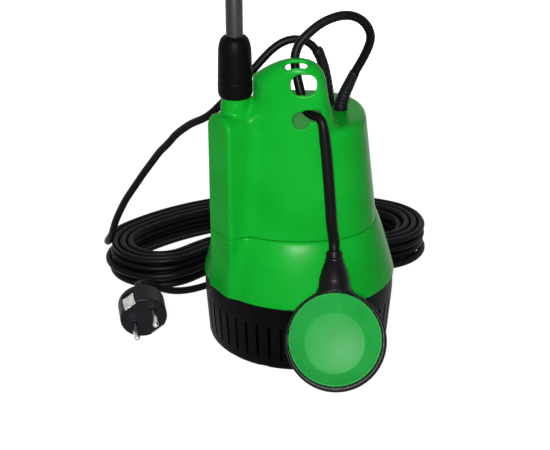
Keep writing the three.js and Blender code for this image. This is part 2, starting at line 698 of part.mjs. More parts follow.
// Strainer: a slotted cup with a flat floor, a spigot for the skirt and four hollow pillars for its screws
function strainerBase() {
  const spigotTop = STRAINER_SHOULDER + SPIGOT_HEIGHT;
  const spigot = skirtRadius(Math.PI / 2, PARTITION_HEIGHT, WALL) - GAP * 2;
  const cup = revolve([
    [0, 0], [STRAINER_FOOT_RADIUS - FOOT_EDGE, 0], [STRAINER_FOOT_RADIUS, FOOT_EDGE],
    [STRAINER_TOP_RADIUS, STRAINER_BAND],
    [STRAINER_TOP_RADIUS, STRAINER_SHOULDER], [spigot, STRAINER_SHOULDER], [spigot, spigotTop],
    [spigot - WALL, spigotTop], [spigot - WALL, STRAINER_SHOULDER - WALL],
    [STRAINER_TOP_RADIUS - WALL, STRAINER_BAND], [STRAINER_FOOT_RADIUS - WALL, FLOOR_THICKNESS],
    [0, FLOOR_THICKNESS],
  ], SLOT_COUNT);
  const pillarTop = PARTITION_HEIGHT - GAP;
  const pillars = around(SCREW_COUNT, SCREW_START_ANGLE).map((angle) => (
    toSolid(rod(PILLAR_RADIUS, 0, pillarTop, SMALL_STEPS).translate(...polar(PILLAR_DISTANCE, angle, 0)))));
  const slotReach = STRAINER_TOP_RADIUS - STRAINER_FOOT_RADIUS + WALL + GAP * 2;
  const slotMiddle = STRAINER_TOP_RADIUS + GAP - slotReach / 2;
  const slotHeight = SLOT_TOP - SLOT_BOTTOM;
  const cutters = around(SLOT_COUNT, Math.PI / SLOT_COUNT).map((angle) => (
    block(slotReach, SLOT_WIDTH, slotHeight, slotMiddle, 0, SLOT_BOTTOM + slotHeight / 2).rotateZ(angle)));
  around(NOTCH_COUNT).forEach((angle) => {
    cutters.push(block(slotReach, NOTCH_WIDTH, NOTCH_DEPTH * 2, slotMiddle, 0, 0).rotateZ(angle));
  });
  around(SCREW_COUNT, SCREW_START_ANGLE).forEach((angle) => {
    cutters.push(rod(SCREW_HEAD_RADIUS + GAP, -OVERRUN, PILLAR_COUNTERBORE, SMALL_STEPS)
      .translate(...polar(PILLAR_DISTANCE, angle, 0)));
    cutters.push(rod(SCREW_RADIUS + GAP, -OVERRUN, pillarTop + OVERRUN, SMALL_STEPS / 2)
      .translate(...polar(PILLAR_DISTANCE, angle, 0)));
  });
  const whole = joined([toSolid(cup), ...pillars]);
  return toGeometry(whole.subtract(joined(cutters.map(toSolid))));
}

// A cap screw standing on its head, with a six-sided socket in the head's underside
function capScrew(radius, length) {
  const head = radius * SCREW_HEAD_RADIUS / SCREW_RADIUS;
  const body = revolve([
    [0, -SCREW_HEAD_HEIGHT], [head, -SCREW_HEAD_HEIGHT], [head, 0], [radius, 0], [radius, length], [0, length],
  ], SMALL_STEPS - ARC_STEPS);
  const socket = rod(head * SOCKET_RADIUS / SCREW_HEAD_RADIUS, -SCREW_HEAD_HEIGHT - OVERRUN,
    SOCKET_DEPTH - SCREW_HEAD_HEIGHT, HEX_SIDES);
  return toGeometry(toSolid(body).subtract(toSolid(socket)));
}

// Volute: a casing that widens round to the outlet, with a throat into the upright outlet pipe
function voluteRadius(angle, inset) {
  const turn = THREE.MathUtils.euclideanModulo(angle - DUCT_ANGLE, 2 * Math.PI) / (2 * Math.PI);
  return THREE.MathUtils.lerp(VOLUTE_START_RADIUS, VOLUTE_END_RADIUS, turn) - inset;
}

function coverBosses(bottom, top, radius, steps = SMALL_STEPS) {
  return around(SCREW_COUNT, SCREW_START_ANGLE + Math.PI / 8).map((angle) => (
    toSolid(rod(radius, bottom, top, steps).translate(...polar(COVER_SCREW_DISTANCE, angle, 0)))));
}

function voluteCasing() {
  const top = PARTITION_HEIGHT - GAP;
  const turns = around(INNER_STEPS, DUCT_ANGLE + WELD);
  const shell = (inset, bottom, end) => toSolid(loft([bottom, end].map((height) => (
    housingRing(turns, height, (angle) => voluteRadius(angle, inset))))));
  const pipe = rod(OUTLET_RADIUS, VOLUTE_BOTTOM, top, ROUND_STEPS / 2).translate(ductX, ductY, 0);
  const throatLength = NECK_DISTANCE - IMPELLER_RADIUS;
  const throatMiddle = (NECK_DISTANCE + IMPELLER_RADIUS) / 2;
  const throatHeight = top - VOLUTE_BOTTOM;
  const bridge = block(throatLength, OUTLET_RADIUS * 2, throatHeight, throatMiddle, 0, VOLUTE_BOTTOM + throatHeight / 2)
    .rotateZ(DUCT_ANGLE);
  const solid = joined([
    shell(0, VOLUTE_BOTTOM, top), toSolid(pipe), toSolid(bridge),
    ...coverBosses(VOLUTE_BOTTOM, VOLUTE_BOTTOM + COVER_BOSS_HEIGHT, COVER_BOSS_RADIUS),
  ]);
  const throat = new THREE.CylinderGeometry(OUTLET_THROAT, OUTLET_THROAT, NECK_DISTANCE, SMALL_STEPS)
    .rotateZ(Math.PI / 2).translate(NECK_DISTANCE / 2, 0, OUTLET_THROAT_HEIGHT).rotateZ(DUCT_ANGLE);
  const cutters = [
    shell(VOLUTE_WALL, VOLUTE_BOTTOM - OVERRUN, top - VOLUTE_TOP_THICKNESS),
    toSolid(rod(VOLUTE_TOP_HOLE, VOLUTE_BOTTOM - OVERRUN, top + OVERRUN, INNER_STEPS)),
    toSolid(rod(DUCT_BORE, OUTLET_THROAT_HEIGHT - OUTLET_THROAT, top + OVERRUN, ROUND_STEPS / 2)
      .translate(ductX, ductY, 0)),
    toSolid(throat),
  ];
  const bosses = joined(coverBosses(VOLUTE_BOTTOM, VOLUTE_BOTTOM + COVER_BOSS_HEIGHT, COVER_BOSS_RADIUS));
  const holes = coverBosses(VOLUTE_BOTTOM - OVERRUN, VOLUTE_BOTTOM + COVER_BOSS_HEIGHT + OVERRUN,
    COVER_SCREW_RADIUS + GAP, SMALL_STEPS / 2);
  return toGeometry(solid.subtract(joined(cutters)).add(bosses).subtract(joined(holes)));
}

function suctionCover() {
  const top = VOLUTE_BOTTOM - GAP;
  const bottom = top - COVER_THICKNESS;
  const disc = revolve([
    [SUCTION_RADIUS, bottom], [COVER_RADIUS, bottom], [COVER_RADIUS, top],
    [SUCTION_RADIUS, top], [SUCTION_RADIUS, bottom],
  ], INNER_STEPS);
  const holes = coverBosses(bottom - OVERRUN, top + OVERRUN, COVER_SCREW_RADIUS + GAP, SMALL_STEPS / 2);
  return toGeometry(toSolid(disc).subtract(joined(holes)));
}

// Open impeller: backward-curved blades under a back plate, on a hub
function impeller() {
  const plateBottom = IMPELLER_TOP - IMPELLER_PLATE;
  const bore = SHAFT_RADIUS + GAP;
  const core = revolve([
    [bore, IMPELLER_HUB_BOTTOM], [IMPELLER_HUB_RADIUS, IMPELLER_HUB_BOTTOM], [IMPELLER_HUB_RADIUS, plateBottom],
    [IMPELLER_RADIUS, plateBottom], [IMPELLER_RADIUS, IMPELLER_TOP], [bore, IMPELLER_TOP],
    [bore, IMPELLER_HUB_BOTTOM],
  ], INNER_STEPS);
  const steps = 6;
  const edge = (side) => Array.from({ length: steps + 1 }, (_, i) => {
    const share = i / steps;
    const inner = (IMPELLER_HUB_RADIUS + bore) / 2;
    const distance = THREE.MathUtils.lerp(inner, IMPELLER_RADIUS - GAP, share);
    const angle = -BLADE_SWEEP * share + (side * BLADE_THICKNESS) / (2 * distance);
    return new THREE.Vector2(distance * Math.cos(angle), distance * Math.sin(angle));
  });
  const blade = new THREE.Shape([...edge(-1), ...edge(1).reverse()]);
  const blades = around(BLADE_COUNT).map((angle) => (
    toSolid(raised(blade, plateBottom - BLADE_HEIGHT, plateBottom + GAP).rotateZ(angle))));
  const shaftHole = toSolid(rod(bore, IMPELLER_HUB_BOTTOM - OVERRUN, IMPELLER_TOP + OVERRUN, SMALL_STEPS));
  return toGeometry(joined([toSolid(core), ...blades]).subtract(shaftHole));
}

function impellerNut() {
  const top = IMPELLER_HUB_BOTTOM - GAP;
  const flats = rod(NUT_RADIUS, top - NUT_HEIGHT, top, HEX_SIDES);
  const thread = rod(SHAFT_RADIUS + GAP, top - NUT_HEIGHT - OVERRUN, top + OVERRUN, SMALL_STEPS);
  return toGeometry(toSolid(flats).subtract(toSolid(thread)));
}

// Motor: flange, seal, bearings, shaft, rotor, stator with its windings, and the can over them
function motorFlange() {
  const bottom = PARTITION_HEIGHT + PARTITION_THICKNESS + GAP;
  const top = bottom + FLANGE_THICKNESS;
  const web = bottom + FLANGE_WEB;
  const seat = BEARING_RADIUS + GAP;
  const rim = seat + BEARING_SEAT_WALL;
  const sealSeat = SHAFT_SEAL_RADIUS + GAP;
  const eye = SHAFT_RADIUS + SHAFT_SEAL_LIP;
  return revolve([
    [sealSeat, bottom - FLANGE_BOSS_DROP], [FLANGE_BOSS_RADIUS, bottom - FLANGE_BOSS_DROP],
    [FLANGE_BOSS_RADIUS, bottom], [CAN_RADIUS, bottom], [CAN_RADIUS, top], [rim, top],
    [rim, web + BEARING_WIDTH], [seat, web + BEARING_WIDTH], [seat, web], [eye, web], [eye, bottom],
    [sealSeat, bottom], [sealSeat, bottom - FLANGE_BOSS_DROP],
  ], INNER_STEPS);
}

function shaftSeal() {
  const top = PARTITION_HEIGHT + PARTITION_THICKNESS;
  const bottom = top - FLANGE_BOSS_DROP + GAP;
  return ring(SHAFT_RADIUS + GAP, SHAFT_SEAL_RADIUS, bottom, top, SMALL_STEPS);
}

function bearing(bottom) {
  return ring(SHAFT_RADIUS + GAP, BEARING_RADIUS, bottom, bottom + BEARING_WIDTH, INNER_STEPS);
}

function motorCan() {
  const bottom = PARTITION_HEIGHT + PARTITION_THICKNESS + GAP + FLANGE_THICKNESS + GAP;
  const cup = BEARING_RADIUS + GAP;
  const cupTop = SHAFT_TOP + CAN_WALL + GAP * 2;
  return revolve([
    [0, cupTop], [cup + CAN_WALL, cupTop], [cup + CAN_WALL, CAN_TOP], [CAN_RADIUS, CAN_TOP],
    [CAN_RADIUS, bottom], [CAN_RADIUS - CAN_WALL, bottom], [CAN_RADIUS - CAN_WALL, CAN_TOP - CAN_WALL],
    [cup, CAN_TOP - CAN_WALL], [cup, cupTop - CAN_WALL], [0, cupTop - CAN_WALL],
  ], INNER_STEPS);
}

function winding(bottom) {
  const edge = CAN_WALL * 2;
  const top = bottom + WINDING_HEIGHT;
  return revolve([
    [WINDING_INNER, bottom], [WINDING_OUTER - edge, bottom], [WINDING_OUTER, bottom + edge],
    [WINDING_OUTER, top - edge], [WINDING_OUTER - edge, top], [WINDING_INNER, top], [WINDING_INNER, bottom],
  ], INNER_STEPS);
}

function capacitor() {
  const half = CAPACITOR_LENGTH / 2;
  return revolve([
    [0, -half], [CAPACITOR_RADIUS - CAPACITOR_EDGE, -half], [CAPACITOR_RADIUS, CAPACITOR_EDGE - half],
    [CAPACITOR_RADIUS, half - CAPACITOR_EDGE], [CAPACITOR_RADIUS - CAPACITOR_EDGE, half], [0, half],
  ], SMALL_STEPS).rotateY(Math.PI / 2).translate(0, CAPACITOR_OFFSET, CAN_TOP + GAP + CAPACITOR_RADIUS);
}

// Discharge: a coupling pushed over the neck, a rubber ring in it and the riser tube
function hoseConnector() {
  const socket = NECK_RADIUS + GAP;
  const riserSeat = RISER_RADIUS + GAP;
  const ringIn = CONNECTOR_RADIUS - CONNECTOR_RING_DEPTH;
  const domeShares = [0.94, 0.84];
  return revolve([
    [socket, CONNECTOR_BOTTOM], [CONNECTOR_RADIUS - CONNECTOR_FOOT_STEP, CONNECTOR_BOTTOM],
    [CONNECTOR_RADIUS, CONNECTOR_BOTTOM + CONNECTOR_EDGE],
    [CONNECTOR_RADIUS, CONNECTOR_RING_HEIGHT], [ringIn, CONNECTOR_RING_HEIGHT + CONNECTOR_RING_DEPTH],
    [CONNECTOR_TOP_RADIUS, CONNECTOR_SHOULDER],
    [CONNECTOR_TOP_RADIUS * domeShares[0], CONNECTOR_SHOULDER + CONNECTOR_DOME_RISE],
    [CONNECTOR_TOP_RADIUS * domeShares[1], CONNECTOR_TOP - CONNECTOR_LIP_DROP],
    [CONNECTOR_MOUTH_RADIUS, CONNECTOR_TOP], [riserSeat, CONNECTOR_TOP], [riserSeat, RISER_BOTTOM],
    [socket, RISER_BOTTOM], [socket, CONNECTOR_BOTTOM],
  ], ROUND_STEPS / 2).translate(ductX, ductY, 0);
}

function hoseSeal() {
  return ring(RISER_BORE, NECK_RADIUS, NECK_TOP + GAP, RISER_BOTTOM - GAP, ROUND_STEPS / 2).translate(ductX, ductY, 0);
}

function riserTube() {
  return ring(RISER_BORE, RISER_RADIUS, RISER_BOTTOM, RISER_TOP, ROUND_STEPS / 2).translate(ductX, ductY, 0);
}

// Routes of the two cables. Each starts in its gland, and the gland boots are part of them
const glandDepth = HOUSING_TOP - WALL - GAP * 4;
const bootFoot = HOUSING_TOP + GAP;
const hingePoint = [13.9, -54, 201];

// Piled loops of the spare lead. They wind in and out at a steady rate and climb a layer as they turn back
function coilPoint(turns) {
  const sweepTurns = COIL_TURNS / COIL_LAYERS;
  const layer = Math.floor(turns / sweepTurns);
  const within = turns / sweepTurns - layer;
  const inward = layer % 2 === 0 ? within : 1 - within;
  const halfWidth = COIL_HALF_WIDTH - inward * sweepTurns * COIL_PITCH;
  let climb = 0;
  for (let i = 1; i < COIL_LAYERS; i += 1) {
    climb += THREE.MathUtils.clamp((turns - i * sweepTurns) / COIL_CLIMB_TURNS + 0.5, 0, 1);
  }
  const quarter = ((turns + COIL_START_SHARE) % 1) * 4;
  const run = Math.min(Math.floor(quarter), 3);
  const share = quarter - run;
  const height = COIL_LIFT + climb * COIL_PITCH;
  const capPoint = (end, start) => {
    const [x, y] = polar(COIL_SPINE_RADIUS, end, 0);
    const [dx, dy] = polar(halfWidth, start + share * Math.PI, 0);
    return new THREE.Vector3(x + dx, y + dy, height);
  };
  if (run === 0) {
    const angle = THREE.MathUtils.lerp(COIL_LEFT_ANGLE, COIL_RIGHT_ANGLE, share);
    return new THREE.Vector3(...polar(COIL_SPINE_RADIUS - halfWidth, angle, height));
  }
  if (run === 2) {
    const angle = THREE.MathUtils.lerp(COIL_RIGHT_ANGLE, COIL_LEFT_ANGLE, share);
    return new THREE.Vector3(...polar(COIL_SPINE_RADIUS + halfWidth, angle, height));
  }
  return run === 1 ? capPoint(COIL_RIGHT_ANGLE, COIL_RIGHT_ANGLE + Math.PI) : capPoint(COIL_LEFT_ANGLE, COIL_LEFT_ANGLE);
}

function mainsCoil() {
  const steps = Math.round(COIL_TURNS * COIL_STEPS_PER_TURN);
  const up = new THREE.Vector3(0, 0, 1);
  const rings = [];
  for (let i = 0; i <= steps; i += 1) {
    const before = coilPoint(Math.max(i - 1, 0) / steps * COIL_TURNS);
    const after = coilPoint(Math.min(i + 1, steps) / steps * COIL_TURNS);
    const middle = coilPoint(i / steps * COIL_TURNS);
    const along = after.sub(before).normalize();
    const side = along.clone().cross(up).normalize();
    const rise = side.clone().cross(along);
    rings.push(around(COIL_SIDES, Math.PI / COIL_SIDES).map((turn) => middle.clone()
      .addScaledVector(side, Math.cos(turn) * MAINS_CORD / 2)
      .addScaledVector(rise, Math.sin(turn) * MAINS_CORD / 2)));
  }
  return loft(rings);
}

const coilEntry = coilPoint(COIL_TURNS);
const coilEntryNext = coilPoint(COIL_TURNS - 1 / COIL_STEPS_PER_TURN);
const coilExit = coilPoint(0);
const coilExitNext = coilPoint(1 / COIL_STEPS_PER_TURN);

const mainsRoute = [
  [24, 14, glandDepth], [24, 14, bootFoot], [23.2, 14, 198.5], [21.6, 14, 209], [18.2, 13.5, 224],
  [13.9, 13, 232.8], [6.4, 12.5, 239.1], [-3, 11.5, 241.8], [-12.6, 10, 240.4], [-20.9, 8.5, 235.2],
  [-27.8, 7, 228.4], [-34.4, 5.4, 221], [-40.5, 4.2, 214.2], [-47.4, 4, 206.7], [-58, 5, 194.9],
  [-72.4, 10, 179.2], [-85, 20, 170.6], [-92.8, 27, 162.9], [-99.9, 33, 155.5], [-106.4, 39, 145.4],
  [-112.9, 45, 137.8], [-121.5, 52, 124.3], [-130.2, 58, 111], [-138.1, 63, 97.9], [-147, 68, 84.6],
  [-154.3, 73, 71], [-160.8, 77, 57.7], [-168.1, 84, 37.5], [-172.8, 93, 28.5],
  coilEntry.toArray(), coilEntryNext.toArray(),
];
const MAINS_BOOT_END = 5;

const floatRoute = [
  [30.8, 1, glandDepth], [30.8, 1, bootFoot], [31.1, 1, 193], [33.2, 1, 200.3], [36.8, 1, 209.1], [41, 0, 219], [46, -1, 228.7],
  [50, -3, 238.6], [51.8, -5, 248.5], [47.5, -8, 258.4], [40.5, -11, 264.5], [31.5, -14, 266.8],
  [22, -17, 265.4], [13.2, -20, 261.8], [4.4, -24, 255.5], [-2.1, -26, 248.9], [-5, -28.2, 240.8],
  [-5, -32.5, 234.2], [-3.5, -36, 226.8], [-1.2, -39, 217.9], [0.6, -40.6, 209.5], [2.6, -41.8, 203.2],
  [5.6, -44.6, 201.4], [9.4, -48.6, 201.2], hingePoint,
  [16.5, -57, 187], [19, -59.6, 165], [21, -62.2, 142], [22.8, -64.6, 120],
];
const FLOAT_BOOT_END = 5;
const FLOAT_HINGE = 24;

const floatAxis = new THREE.Vector3(0, Math.sin(FLOAT_LEAN), Math.cos(FLOAT_LEAN));
const collarEnd = new THREE.Vector3(...FLOAT_CENTRE).addScaledVector(floatAxis, FLOAT_COLLAR_TOP);
const aboveCollar = collarEnd.clone().addScaledVector(floatAxis, FLOAT_COLLAR_RADIUS);
const belowCollar = collarEnd.clone().addScaledVector(floatAxis, -FLOAT_COLLAR_RADIUS);
floatRoute.push(aboveCollar.toArray(), collarEnd.toArray(), belowCollar.toArray());
const FLOAT_DROP_END = floatRoute.length - 2;

// A gland boot: a plug through the roof, a foot on it and a taper up to a lip
function boot(route, end, neckRadius, lipRadius) {
  const curve = new Stretch(route, 0, end, 0, 0);
  const steps = 24;
  const bootShares = [0, 0.125, 0.125, 0.25, 0.5, 0.75, 0.875, 0.916, 1];
  const radii = [
    BOOT_PLUG_RADIUS, BOOT_PLUG_RADIUS, BOOT_FOOT_RADIUS, BOOT_FOOT_RADIUS, (BOOT_FOOT_RADIUS + neckRadius) / 2,
    neckRadius, neckRadius, lipRadius, lipRadius,
  ];
  return sweep(curve, bootShares.map((share, i) => [share, radii[i]]), SMALL_STEPS / 2 + 2, steps);
}

// Plug lead: out of the plug, round a bend and along the floor to the first loop
const plugBack = PLUG_BODY_LENGTH + PLUG_TAPER_LENGTH + PLUG_NECK_LENGTH;
const plugNormal = new THREE.Vector3(Math.sin(PLUG_YAW), -Math.cos(PLUG_YAW), 0);
const leadStart = new THREE.Vector3(...PLUG_FACE).addScaledVector(plugNormal, -plugBack);
const insidePlug = leadStart.clone().addScaledVector(plugNormal, PLUG_NECK_LENGTH);
const leadRoute = [
  insidePlug.toArray(), leadStart.toArray(), [-135, 17, 18.6], [-134.8, 25.5, 14.6], [-129.5, 33, 9.2],
  [-121, 38, 5.2], [-110.4, 43, COIL_LIFT], [-97, 51, COIL_LIFT], [-85, 58, COIL_LIFT], [-72, 66.5, COIL_LIFT],
  [-60, 77, COIL_LIFT], [-49, 88, COIL_LIFT], [-36, 99.5, COIL_LIFT], coilExit.toArray(), coilExitNext.toArray(),
];

function plugBody() {
  const body = revolve([
    [0, 0], [PLUG_RADIUS - PLUG_EDGE, 0], [PLUG_RADIUS, -PLUG_EDGE], [PLUG_RADIUS, -PLUG_BODY_LENGTH],
    [PLUG_NECK_RADIUS + PLUG_EDGE, -PLUG_BODY_LENGTH - PLUG_TAPER_LENGTH], [PLUG_NECK_RADIUS, GAP - plugBack],
    [PLUG_NECK_RADIUS - PLUG_EDGE, -plugBack], [0, -plugBack],
  ], ROUND_STEPS / 2 + 4);
  const notches = [-1, 1].map((side) => toSolid(block(
    CLIP_NOTCH_WIDTH, CLIP_NOTCH_DEPTH * 2, CLIP_LENGTH * 2 + GAP * 4, 0, side * PLUG_RADIUS, 0)));
  const holes = [-1, 1].map((side) => toSolid(rod(PIN_RADIUS + GAP, -PIN_LENGTH / 2 - GAP, OVERRUN, SMALL_STEPS / 2)
    .translate(side * PIN_SPACING / 2, 0, 0)));
  return toGeometry(toSolid(body).subtract(joined([...notches, ...holes])));
}

function plugPin() {
  return revolve([
    [0, -PIN_LENGTH / 2], [PIN_RADIUS, -PIN_LENGTH / 2], [PIN_RADIUS, PIN_LENGTH - PIN_TIP],
    [PIN_RADIUS - PIN_TIP, PIN_LENGTH], [0, PIN_LENGTH],
  ], SMALL_STEPS / 2);
}

// An earth contact: a spring strip in the plug's side notch, bowed outwards
function plugClip() {
  const middle = PLUG_RADIUS - CLIP_NOTCH_DEPTH + GAP;
  const bow = CLIP_NOTCH_DEPTH - CLIP_THICKNESS - GAP * 2;
  const strip = new THREE.Shape();
  strip.moveTo(-CLIP_LENGTH, middle);
  strip.lineTo(-CLIP_LENGTH, middle + CLIP_THICKNESS);
  strip.quadraticCurveTo(-CLIP_LENGTH / 2, middle + CLIP_THICKNESS + bow * 2, 0, middle + CLIP_THICKNESS);
  strip.lineTo(0, middle);
  strip.quadraticCurveTo(-CLIP_LENGTH / 2, middle + bow, -CLIP_LENGTH, middle);
  return raised(strip, -CLIP_WIDTH / 2, CLIP_WIDTH / 2, SMALL_STEPS / 4).rotateY(-Math.PI / 2);
}

// Float, in its own frame: the disc stands in XZ with its face towards -Y and its neck up
function floatShell() {
  const half = FLOAT_THICKNESS / 2;
  const back = [];
  const edgeSteps = 4;
  for (let i = 0; i <= edgeSteps; i += 1) {
    const turn = (i / edgeSteps) * Math.PI / 2;
    back.push([FLOAT_RADIUS - FLOAT_EDGE * (1 - Math.sin(turn)), -half + FLOAT_EDGE * (1 - Math.cos(turn))]);
  }
  const rim = LID_RADIUS + GAP;
  const inner = rim - FLOAT_WALL;
  const lidSeat = half - LID_FLANGE - GAP;
  const disc = toSolid(revolve([
    [0, -half], ...back, [FLOAT_RADIUS, half - FLOAT_FRONT_EDGE], [FLOAT_RADIUS - FLOAT_FRONT_EDGE, half],
    [rim, half], [rim, lidSeat], [inner, lidSeat], [inner, -half + FLOAT_EDGE],
    [inner - FLOAT_EDGE / 2, -half + FLOAT_WALL], [0, -half + FLOAT_WALL],
  ], ROUND_STEPS).rotateX(Math.PI / 2));
  const neck = toSolid(revolve([
    [0, FLOAT_RADIUS - FLOAT_EDGE / 2], [FLOAT_SHOULDER_RADIUS, FLOAT_RADIUS - FLOAT_EDGE / 2],
    [FLOAT_SHOULDER_RADIUS, FLOAT_SHOULDER_TOP - FLOAT_EDGE], [FLOAT_SHOULDER_RADIUS - FLOAT_SHOULDER_STEP, FLOAT_SHOULDER_TOP],
    [FLOAT_THROAT_RADIUS + FLOAT_THROAT_FLARE, (FLOAT_SHOULDER_TOP + FLOAT_THROAT_HEIGHT) / 2],
    [FLOAT_THROAT_RADIUS, FLOAT_THROAT_HEIGHT], [0, FLOAT_THROAT_HEIGHT],
  ], SMALL_STEPS + 4));
  const room = toSolid(new THREE.CylinderGeometry(rim, rim, FLOAT_THICKNESS, ROUND_STEPS)
    .translate(0, -half + lidSeat, 0));
  return toGeometry(disc.add(neck.subtract(room)));
}

// The lid is a shallow dish whose flat middle lies below its centre
function floatLid() {
  const front = FLOAT_THICKNESS / 2;
  const circle = (radius, depth, drop) => around(ROUND_STEPS).map((turn) => (
    new THREE.Vector3(radius * Math.cos(turn), depth - front, radius * Math.sin(turn) + drop)));
  const coneTop = LID_RADIUS - LID_BEVEL;
  return loft([
    circle(DISH_RADIUS, DISH_DROP + LID_THICKNESS, DISH_OFFSET),
    circle(coneTop - LID_THICKNESS, LID_FLANGE, 0),
    circle(LID_RADIUS, LID_FLANGE, 0),
    circle(LID_RADIUS, LID_BEVEL, 0),
    circle(coneTop, 0, 0),
    circle(DISH_RADIUS, DISH_DROP, DISH_OFFSET),
  ]);
}

function floatCollar() {
  return revolve([
    [0, FLOAT_THROAT_HEIGHT + GAP], [FLOAT_COLLAR_RADIUS, FLOAT_THROAT_HEIGHT + GAP],
    [FLOAT_COLLAR_RADIUS, FLOAT_COLLAR_TOP - LID_BEVEL], [FLOAT_COLLAR_RADIUS - LID_BEVEL, FLOAT_COLLAR_TOP],
    [0, FLOAT_COLLAR_TOP],
  ], SMALL_STEPS);
}

// Switch inside the float: a box with an open-ended tube in which a steel ball runs
const switchDepth = (FLOAT_WALL - DISH_DROP - LID_THICKNESS) / 2;

function switchCarrier() {
  const outer = rod(SWITCH_TUBE_RADIUS, 0, SWITCH_TUBE_LENGTH, SMALL_STEPS);
  const inner = rod(SWITCH_TUBE_RADIUS - SWITCH_TUBE_WALL, SWITCH_TUBE_WALL, SWITCH_TUBE_LENGTH + OVERRUN, SMALL_STEPS);
  const box = block(SWITCH_BOX_WIDTH, SWITCH_BOX_DEPTH, SWITCH_BOX_HEIGHT, 0, 0, -SWITCH_BOX_HEIGHT / 2 + GAP);
  return toGeometry(toSolid(outer).add(toSolid(box)).subtract(toSolid(inner)));
}

const green = { color: 0x18a02d, roughness: 0.38, metalness: 0 };
const black = { color: 0x0a0a0b, roughness: 0.5, metalness: 0 };
const cable = { color: 0x060606, roughness: 0.62, metalness: 0 };
const rubber = { color: 0x101010, roughness: 0.8, metalness: 0 };
const steel = { color: 0xb9bcc0, roughness: 0.3, metalness: 1 };
const greyTube = { color: 0x6e6d70, roughness: 0.42, metalness: 0.9 };
const castMetal = { color: 0x8f9396, roughness: 0.55, metalness: 0.9 };
const copper = { color: 0xb4642c, roughness: 0.45, metalness: 0.9 };
const laminate = { color: 0x6c7075, roughness: 0.6, metalness: 0.8 };
const whitePlastic = { color: 0xd8d8d2, roughness: 0.5, metalness: 0 };

const pump = new THREE.Group();

function place(parent, name, geometry, look, position = [0, 0, 0]) {
  const mesh = new THREE.Mesh(closed(geometry), new THREE.MeshStandardMaterial(look));
  mesh.name = name;
  mesh.position.set(...position);
  parent.add(mesh);
  return mesh;
}

// Housings and strainer
place(pump, 'strainer_base', strainerBase(), black);
place(pump, 'lower_housing', lowerHousing(), green);
place(pump, 'upper_housing', upperHousing(), green);
place(pump, 'housing_seal', housingSeal(), rubber);

// Screws: each set stands round the axis
const baseScrew = capScrew(SCREW_RADIUS, BASE_SCREW_LENGTH);
const housingScrew = capScrew(SCREW_RADIUS, HOUSING_SCREW_LENGTH);
const coverScrew = capScrew(COVER_SCREW_RADIUS, COVER_SCREW_LENGTH);
const coverUnderside = VOLUTE_BOTTOM - GAP - COVER_THICKNESS;
around(SCREW_COUNT, SCREW_START_ANGLE).forEach((angle, i) => {
  const baseSeat = polar(PILLAR_DISTANCE, angle, PILLAR_COUNTERBORE - GAP);
  const housingSeat = polar(HOUSING_SCREW_DISTANCE, angle, PARTITION_HEIGHT - GAP);
  const coverSeat = polar(COVER_SCREW_DISTANCE, angle + Math.PI / 8, coverUnderside - GAP);
  place(pump, `base_screw_${i + 1}`, baseScrew, steel, baseSeat);
  place(pump, `housing_screw_${i + 1}`, housingScrew, steel, housingSeat);
  place(pump, `cover_screw_${i + 1}`, coverScrew, steel, coverSeat);
});

// Wet end
place(pump, 'volute_casing', voluteCasing(), black);
place(pump, 'suction_cover', suctionCover(), black);
place(pump, 'impeller', impeller(), whitePlastic);
place(pump, 'impeller_nut', impellerNut(), steel);

// Motor
const lowerBearingHeight = PARTITION_HEIGHT + PARTITION_THICKNESS + GAP + FLANGE_WEB + GAP;
const upperBearingHeight = CAN_TOP;
place(pump, 'motor_flange', motorFlange(), castMetal);
place(pump, 'shaft_seal', shaftSeal(), rubber);
place(pump, 'lower_bearing', bearing(lowerBearingHeight), steel);
place(pump, 'upper_bearing', bearing(upperBearingHeight), steel);
place(pump, 'motor_can', motorCan(), steel);
place(pump, 'stator_core', ring(
  ROTOR_RADIUS + AIR_GAP, CAN_RADIUS - CAN_WALL - GAP, STATOR_BOTTOM, STATOR_TOP, INNER_STEPS), laminate);
place(pump, 'winding_lower', winding(STATOR_BOTTOM - GAP - WINDING_HEIGHT), copper);
place(pump, 'winding_upper', winding(STATOR_TOP + GAP), copper);
place(pump, 'rotor_core', ring(SHAFT_RADIUS + GAP, ROTOR_RADIUS, STATOR_BOTTOM, STATOR_TOP, INNER_STEPS), laminate);
place(pump, 'motor_shaft', rod(SHAFT_RADIUS, SHAFT_BOTTOM, SHAFT_TOP, SMALL_STEPS), steel);
place(pump, 'capacitor', capacitor(), whitePlastic);

// Discharge
place(pump, 'hose_connector', hoseConnector(), black);
place(pump, 'hose_seal', hoseSeal(), rubber);
place(pump, 'riser_tube', riserTube(), greyTube);

// Cables
const loopCurve = new Stretch(floatRoute, FLOAT_BOOT_END, FLOAT_HINGE, GAP, DROP_DIAMETER / 2 + GAP * 2);
const dropCurve = new Stretch(floatRoute, FLOAT_HINGE, FLOAT_DROP_END, 0, GAP);
const mainsCurve = new Stretch(mainsRoute, MAINS_BOOT_END, mainsRoute.length - 2, GAP, GAP * 3);
const leadCurve = new Stretch(leadRoute, 1, leadRoute.length - 2, GAP, GAP * 3);
place(pump, 'mains_boot', boot(mainsRoute, MAINS_BOOT_END, BOOT_NECK_RADIUS, BOOT_LIP_RADIUS), rubber);
place(pump, 'float_boot', boot(floatRoute, FLOAT_BOOT_END, BOOT_NECK_RADIUS, BOOT_NECK_RADIUS), rubber);
place(pump, 'float_cable_loop', cord(loopCurve, FLOAT_CORD, 24), cable);
place(pump, 'mains_cord', cord(mainsCurve, MAINS_CORD, 36), cable);
place(pump, 'mains_coil', mainsCoil(), cable);
place(pump, 'plug_lead', cord(leadCurve, MAINS_CORD, 16), cable);

